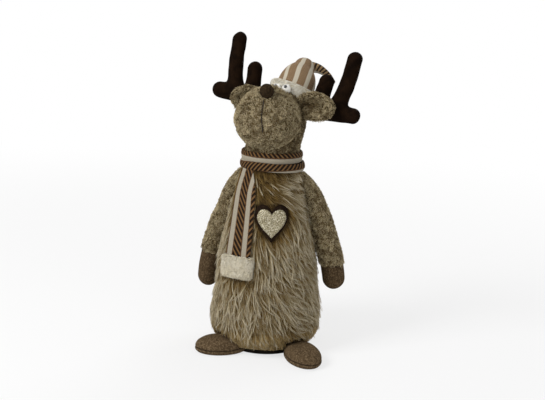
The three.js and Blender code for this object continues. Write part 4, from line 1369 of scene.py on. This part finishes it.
def make_ear(side):
    centre, turn, roll = EAR_SIDES[side]
    matrix, sign = turning(turn, roll), SIDES[side]
    angle = spokes(64)
    outside = [(EAR_HALF, tilt) for tilt in np.linspace(3, 97, 22)]
    inside = [(EAR_HALF - [5, 4, 5], tilt) for tilt in np.linspace(95, 3, 20)]
    rings = []
    for half, tilt in outside + inside:
        a = radians(tilt)
        ring = half[0] * sin(a) * np.cos(angle), half[1] * cos(a), half[2] * sin(a) * np.sin(angle)
        rings.append(np.stack(np.broadcast_arrays(*ring), axis=-1))
    points, quads, fans = bulge(loft(rings), size=18, depth=0.5, seed=81)
    from_root = np.clip(0.5 + sign * points[:, 0] / EAR_HALF[0] / 2, 0, 1)
    points[:, 1] -= 6.5 * (points[:, 2] / EAR_HALF[2]) ** 2 * (1 - from_root)
    solid = (points @ matrix.T + centre, quads, fans)
    make_piece(f"ear_{side}_cloth", solid, ear_backing, f"ear_{side}",
               (f"ear_{side}_back", f"ear_{side}_lining"))

    def hollow_at(points):
        """How far points are from the middle of the ear's hollow, and which of them are in its front."""
        x, y, z = ((points - centre) @ matrix).T
        return ((x + sign * 13) / 9) ** 2 + ((z - 1 - x * 0.1) / 3.0) ** 2, y < 7

    # The hollow is left without pile, so that the dark ear cloth shows there as painted shade.
    def off_head(points):
        away, front = hollow_at(points)
        return ~in_skull(points) & ~in_ball(points, MUZZLE, MUZZLE_HALF) & ~((away < 1.5) & front)

    # Painted shade: the pile darkens towards the middle of the ear's hollow.
    def painted_shade(places):
        away, front = hollow_at(places)
        return 0.9 * np.exp(-np.maximum(away - 1, 0) / 3) * front

    make_pile(f"ear_{side}_pile", solid, curls, f"ear_{side}", "curly_plush", count=3600, length=5.6,
              rise=3.2, wide=0.5, seed=83, keep=off_head, light=0.4, painted_shade=painted_shade)


for side in SIDES:
    make_ear(side)


# Antlers: suede sewn round its outline and stuffed, so that its tines flow into one another
TINE_RADIUS = 12.6
TINE_FLATNESS = 0.88
TINES = (
    [(26, -12), (58, -4), (92, -1), (131, 1.5)],
    [(88, 2), (94, 24), (99, 50), (102.5, 101)],
    [(57, 0), (60, 22), (64.8, 57.5)],
)


def tine_lines(sign):
    lines = []
    for corners in TINES:
        line = smooth_path([(sign * out, 0, up) for out, up in corners], 200)
        run = run_along(line)
        inside = (run > TINE_RADIUS) & (run < run[-1] - TINE_RADIUS)
        lines.append(even_points(line[inside], 16))
    return lines


def antler_depth(points, lines, soft=7.0):
    """Distance outside the stuffed form, with soft inner corners."""
    flat = points * [1, 1 / TINE_FLATNESS, 1]
    near = [distance_to_line(flat, line) for line in lines]
    total = sum(np.exp(-d / soft * 1.6) for d in near)
    blended = -np.log(total) * soft / 1.6
    return np.maximum(blended, np.minimum.reduce(near) - 3.5) - TINE_RADIUS


def antler_slope(points, lines):
    """The depth at points and the way straight out."""
    depth = antler_depth(points, lines)
    slope = np.stack([antler_depth(points + step, lines) - depth for step in np.eye(3) * 0.05], 1)
    return depth, unit(slope)


def remeshed(solid, voxel):
    """The solid's outer skin as even quads."""
    rough = add_object("rough", make_mesh("rough", solid))
    remesh = rough.modifiers.new("skin", "REMESH")
    remesh.mode = "VOXEL"
    remesh.voxel_size = voxel * MM
    skin = rough.evaluated_get(bpy.context.evaluated_depsgraph_get()).to_mesh()
    points = np.empty(len(skin.vertices) * 3, np.float32)
    skin.vertices.foreach_get("co", points)
    quads = np.array([p.vertices for p in skin.polygons if len(p.vertices) == 4], int)
    fans = np.array([p.vertices for p in skin.polygons if len(p.vertices) == 3], int).reshape(-1, 3)
    rough.to_mesh_clear()
    bpy.data.objects.remove(rough)
    return points.reshape(-1, 3).astype(float) / MM, quads.reshape(-1, 4), fans


ANTLER_ROOT = SKULL + [1, 0, -2]


def make_antler(side):
    sign = SIDES[side]
    lines = tine_lines(sign)
    tines = []
    for corners in TINES:
        line = smooth_path([(sign * out, 0, up) for out, up in corners], 100)
        tines.append(loft(limb(line, lambda u: TINE_RADIUS + 0 * u, [0, 1, 0], rings=40, sides=28,
                               flatness=TINE_FLATNESS)))
    points, quads, fans = remeshed(join_solids(tines), 1.4)
    for _ in range(5):
        depth, way = antler_slope(points, lines)
        points = points - way * depth[:, None]
    way = antler_slope(points, lines)[1]
    seam = np.exp(-((points[:, 1] / 1.5) ** 2))
    ridge = 0.9 * np.exp(-((points[:, 1] / 0.9) ** 2))
    crumple = waves(points, 9, 91) * 0.22 + waves(points, 24, 92) * 0.35
    points = points + way * (ridge + crumple - 0.35)[:, None]
    lean = np.array(Matrix.Rotation(radians(-13), 3, "X"))
    points = points @ lean.T + [0, 8, 30]
    points = points @ turning(-7, 6).T + ANTLER_ROOT
    make_piece(f"antler_{side}_suede", (points, quads, fans), dark_suede, "head",
               (f"antler_{side}_front", f"antler_{side}_back", f"antler_{side}_stuffing"),
               seams=seam)


for side in SIDES:
    make_antler(side)


# Cap: a woven crown with a fur cuff, and a tip that folds over
CAP_BASE = SKULL + [20, 22, 56]
CAP_AXIS = unit([0.165, 0.335, 0.927])
CAP_FOLD = CAP_BASE + [7.7, 18, 26.5]
CAP_RADIUS = 31.0
CUFF_HEIGHT = 19
CAP_FRONT = 265
TIP_CIRCUIT = TIP_BAR * 10
TIP_PATH = CAP_FOLD + np.array([[4.3, 3, 2.5], [21.3, 9.5, 0.5], [37.3, 17, -10], [47.8, 22, -22.5]])


def ring_round(middle, direction, sizes, sides):
    """A ring of points round a direction."""
    across = unit(np.cross(direction, [0, 1, 0]))
    deep = np.cross(across, direction)
    angle = spokes(sides, 0.5)
    return middle + (across * np.cos(angle)[:, None] + deep * np.sin(angle)[:, None]) * sizes


def make_cap():
    drop = CUFF_HEIGHT * 0.8
    start, bend = CAP_BASE - CAP_AXIS * drop, CAP_BASE + CAP_AXIS * 6
    t = np.linspace(0, 1, 300)[:, None]
    line = even_points((1 - t) ** 2 * start + 2 * (1 - t) * t * bend + t**2 * CAP_FOLD, 60)
    tangents = unit(np.gradient(line, axis=0))
    run = np.linspace(0, np.linalg.norm(np.diff(line, axis=0), axis=1).sum(), 60)
    length = run[-1]
    stations = [(0, 31), (drop, 31), (drop + 12, 29.5), (length - 10, 25), (length, 17.5)]
    rings, flats = [], []
    sides = 120
    spots = 360 * (np.arange(sides) + 0.5) / sides
    rows = [(middle, tangent, float(size_at(stations, np.array(at))), at)
            for middle, tangent, at in zip(line, tangents, run)]
    top = stations[-1][1]
    for angle in np.radians([15, 30, 45, 60, 72, 82, 87]):
        middle = line[-1] + tangents[-1] * top * sin(angle)
        rows.append((middle, tangents[-1], top * cos(angle), length + top * angle))
    for middle, tangent, radius, at in rows:
        rings.append(ring_round(middle, tangent, radius, sides))
        twist = 13 * np.clip((at - drop) / (length - drop), 0, 1.3) ** 1.4
        turn = (spots - CAP_FRONT - twist + 180) % 360 - 180
        flats.append(np.stack([np.radians(turn) * max(radius, top), np.full(sides, at)], 1))
    points, quads, fans = loft(rings)
    way = unit(points - line[30])
    points = points + way * (waves(points, 20, 101) * 0.7)[:, None]
    ends = [flats[0].mean(0), flats[-1].mean(0)]
    make_piece("cap_crown", (points, quads, fans), cap_weave, "head",
               ("hat_crown", "hat_filling"), cloth=np.vstack([*flats, ends]), seam=top)


def make_cap_tip():
    sides, count = 60, 80
    rings = limb(smooth_path(TIP_PATH, 120), lambda u: 11 - 8.4 * u**0.85, [0, 1, 0], rings=count,
                 sides=sides, flatness=0.6)
    across = (np.arange(sides) + 0.5) / sides * TIP_CIRCUIT
    along = 55 * (1 - np.cos(pi * np.arange(count) / count)) / 2
    flats = np.stack(np.broadcast_arrays(across[None], along[:, None]), -1).reshape(-1, 2)
    ends = [flats[:sides].mean(0), flats[-sides:].mean(0)]
    make_piece("cap_tip_cloth", loft(rings), cap_tip_weave, "cap_tip", ("hat_tip",),
               cloth=np.vstack([flats, ends]), wrap=TIP_CIRCUIT)


CUFF_AXIS = unit(CAP_AXIS + [0.1, 0, 0])


def make_cuff():
    angle = np.linspace(0, 2 * pi, 28, endpoint=False)
    profile = np.stack([CAP_RADIUS + GAP + 3.8 * (1 + squared(np.cos(angle), 0.7)),
                        7.8 * squared(np.sin(angle), 0.7)], 1)
    points, quads, fans = ring_loft(revolve(profile, 96))
    points = points @ tilting(CUFF_AXIS).T + CAP_BASE - CAP_AXIS * (CUFF_HEIGHT / 2 + 4)
    solid = bulge((points, quads, fans), size=16, depth=0.5, seed=103)
    make_piece("cap_cuff_cloth", solid, cream_backing, "head", ("hat_cuff",))

    def clear_of_head(points):
        return ~(in_skull(points) | in_ball(points, MUZZLE, MUZZLE_HALF) | in_eyes(points, 1))

    make_pile("cap_cuff_pile", solid, cream_pile, "head", "cream_fur", count=8800, length=5.4, rise=2.2,
              wide=0.42, seed=105, keep=clear_of_head, light=1.4, spread=0.5, comb=-CAP_AXIS, follow=0.7)


make_cap()
make_cap_tip()
make_cuff()


# Arms: a plush sleeve and a felt mitten round one stuffed limb
def make_arm(side):
    line = arm_line(side)
    sign = SIDES[side]
    shares = np.linspace(0, 1, len(line))
    rings = limb(line, lambda u: size_at(ARM_STATIONS, np.interp(u, shares, line[:, 2])),
                 around(sign * ARM_AZIMUTH, 1.0, 0.0), rings=110, sides=56, flatness=0.94)
    wrist = int(np.argmin(np.abs(rings[:, :, 2].mean(1) - WRIST)))
    sleeve = bulge(loft(rings[:wrist + 1]), size=24, depth=0.8, seed=111)
    mitten = bulge(loft(rings[wrist:]), size=24, depth=0.5, seed=112)
    make_piece(f"arm_{side}_sleeve_cloth", sleeve, curly_backing, f"arm_{side}",
               (f"arm_{side}_sleeve", f"arm_{side}_stuffing"))
    seam = np.exp(-(((mitten[0][:, 2] - WRIST) / 2.0) ** 2)) * 0.5
    make_piece(f"mitten_{side}_felt", mitten, mitten_felt, f"arm_{side}", (f"mitten_{side}",),
               seams=seam)

    def outside(points):
        reach = np.hypot(points[:, 0], points[:, 1])
        return (points[:, 2] > WRIST + 0.5) & (points[:, 2] < 288) & (reach > body_radius(points[:, 2]) - 2)

    make_pile(f"arm_{side}_pile", sleeve, curls, f"arm_{side}", "curly_plush", count=7400, length=6.2,
              rise=3.2, wide=0.52, seed=114, keep=outside, comb=-UP, follow=0.3)

    def high_up(points):
        return points[:, 2] > SHOULDER_PILE_LOW

    def under_scarf(paths):
        return ((paths[..., 2] > WRAP_BOTTOM - 0.5) & (np.hypot(paths[..., 0], paths[..., 1]) < 54)).any(1)

    inward = UP * 0.7 - around(sign * 90, 1.0, 0.0)
    make_pile(f"shoulder_{side}_pile", sleeve, curls, f"arm_{side}", "curly_plush", count=2000, length=11,
              rise=2.4, wide=0.5, seed=117, keep=high_up, keep_off=under_scarf, comb=inward, follow=0.7)


for side in SIDES:
    make_arm(side)


# Feet: a flat sole and a domed upper, sewn together low round the edge
def make_foot(side):
    x, y, heading = FOOT_SIDES[side]
    top = FOOT_HEIGHT - 2 * (1 - np.linspace(0.15, 0.98, 10)) ** 2
    rings = []
    for height in np.concatenate([[0, 0.8, 2], np.linspace(3.2, 23, 34), top]):
        scale = float(size_at(FOOT_PROFILE, height)) - (0.025 if height < 0.5 else 0)
        rings.append(ellipse(spokes(96), FOOT_HALF[0] * scale, FOOT_HALF[1] * scale, z=height))
    points, quads, fans = loft(rings)
    turn = np.array(Matrix.Rotation(radians(heading), 3, "Z"))
    points = points @ turn.T + [x, y, 0]
    above = points[:, 2] - FOOT_SEAM - 3.4 + waves(points * [1, 1, 0], 30, 123) * 0.7
    out = unit((points - [x, y, 0]) * [1, 1, 0])
    pinch = 1.3 * np.exp(-((above / 1.3) ** 2))
    points = points - out * pinch[:, None]
    points[:, 2] += waves(points, 22, 121) * 0.7 * np.clip(points[:, 2] / 20, 0, 1)
    reach = np.hypot(points[:, 0], points[:, 1])
    room = np.where(points[:, 2] < BASE_RIM, BASE_RADIUS, body_radius(points[:, 2])) + 0.6
    push = np.maximum(room / reach, 1)
    points[:, :2] *= push[:, None]
    seam = 0.85 * np.exp(-((above / 0.85) ** 2))
    points[:, 2] = np.maximum(points[:, 2], 0)
    make_piece(f"foot_{side}_felt", (points, quads, fans), brown_felt, f"foot_{side}",
               (f"foot_{side}_sole", f"foot_{side}_upper", f"foot_{side}_stuffing"), seams=seam)


for side in SIDES:
    make_foot(side)


# The board inside keeps its own shape
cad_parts["base_board"].data.materials.clear()
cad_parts["base_board"].data.materials.append(board_finish.material)


# Ballast: a round bag of granules, gathered and tied at its middle
BAG_SHAPE = [
    (0.3, 0.0), (0.7, 0.0), (0.9, 0.03), (0.975, 0.12), (0.995, 0.28), (0.96, 0.5), (0.88, 0.7),
    (0.74, 0.84), (0.56, 0.91), (0.38, 0.93), (0.22, 0.92), (0.13, 0.9), (0.085, 0.93), (0.1, 0.97),
    (0.12, 1.0), (0.06, 0.99),
]


def make_bag():
    low, high = (np.array(corner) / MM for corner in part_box("ballast_bag"))
    edge, tall = high[0] - 0.4, high[2] - low[2] - 0.4
    count = len(BAG_SHAPE)
    azimuth = azimuths(120)
    rings = []
    for share, up in read_rows(np.array(BAG_SHAPE), np.arange(count), np.linspace(0, count - 1, 61)):
        gather = 0.05 * (1 - share) * (up > 0.3)
        folds = 1 + gather * np.sin(np.radians(azimuth * 14))
        folds = folds - 0.012 * (1 + waves(around(azimuth, 40, 0.0), 30, 131))
        rings.append(around(azimuth, edge * share * folds, low[2] + 0.2 + tall * up))
    make_piece("ballast_bag_cloth", loft(rings), bag_finish, "body", ("ballast_bag",))


make_bag()


# Floor, backdrop and light, in metres
FLOOR_HALF = 30.0
FLOOR_DROP = 0.0004


def make_stage():
    floor_finish = Finish("floor", roughness=0.95)
    floor_finish.set(base_color=colour(236, 236, 236))
    tree = floor_finish.tree
    glow = floor_finish.node("Emission", None, [colour(255, 255, 255), 1.0])
    rays = floor_finish.seen_rays()
    spot = floor_finish.node("TexCoord", output=3)
    away = floor_finish.node("VectorMath", {"operation": "LENGTH"}, [spot], output=1)
    white = rays * away.between(0.3, 2.2, 0.7, 1.0)
    lit = Wire(floor_finish, floor_finish.shader.outputs[0])
    blend = floor_finish.node("MixShader", None, {0: white, 1: lit, 2: glow})
    tree.links.new(blend.socket, tree.nodes["Material Output"].inputs[0])
    mesh = bpy.data.meshes.new("floor")
    corners = [(x * FLOOR_HALF, y * FLOOR_HALF, -FLOOR_DROP) for x, y in ((-1, -1), (1, -1), (1, 1), (-1, 1))]
    mesh.from_pydata(corners, [], [(0, 1, 2, 3)])
    mesh.materials.append(floor_finish.material)
    floor = add_object("floor", mesh)


def make_lamp(name, place, target, power, size):
    data = bpy.data.lights.new(name, "AREA")
    data.energy = power
    data.size = size
    lamp = add_object(name, data)
    lamp.location = place
    way = Vector(target) - Vector(place)
    lamp.rotation_euler = way.to_track_quat("-Z", "Y").to_euler()


def make_world():
    world = bpy.data.worlds.new("studio")
    bpy.context.scene.world = world
    nodes = Nodes(world)
    strength = nodes.seen_rays().between(0, 1, 0.34, 1.0)
    background = nodes.tree.nodes["Background"]
    background.inputs["Color"].default_value = (1, 1, 1, 1)
    nodes.tree.links.new(strength.socket, background.inputs["Strength"])


make_stage()
make_world()
make_lamp("key", (-1.3, -1.5, 1.7), (0, 0, 0.25), power=44, size=1.0)
make_lamp("fill", (1.6, -1.4, 1.0), (0, 0, 0.25), power=9, size=1.6)
make_lamp("back", (0.4, 1.7, 1.8), (0, 0, 0.3), power=18, size=1.2)
bpy.context.scene.view_settings.view_transform = "Standard"
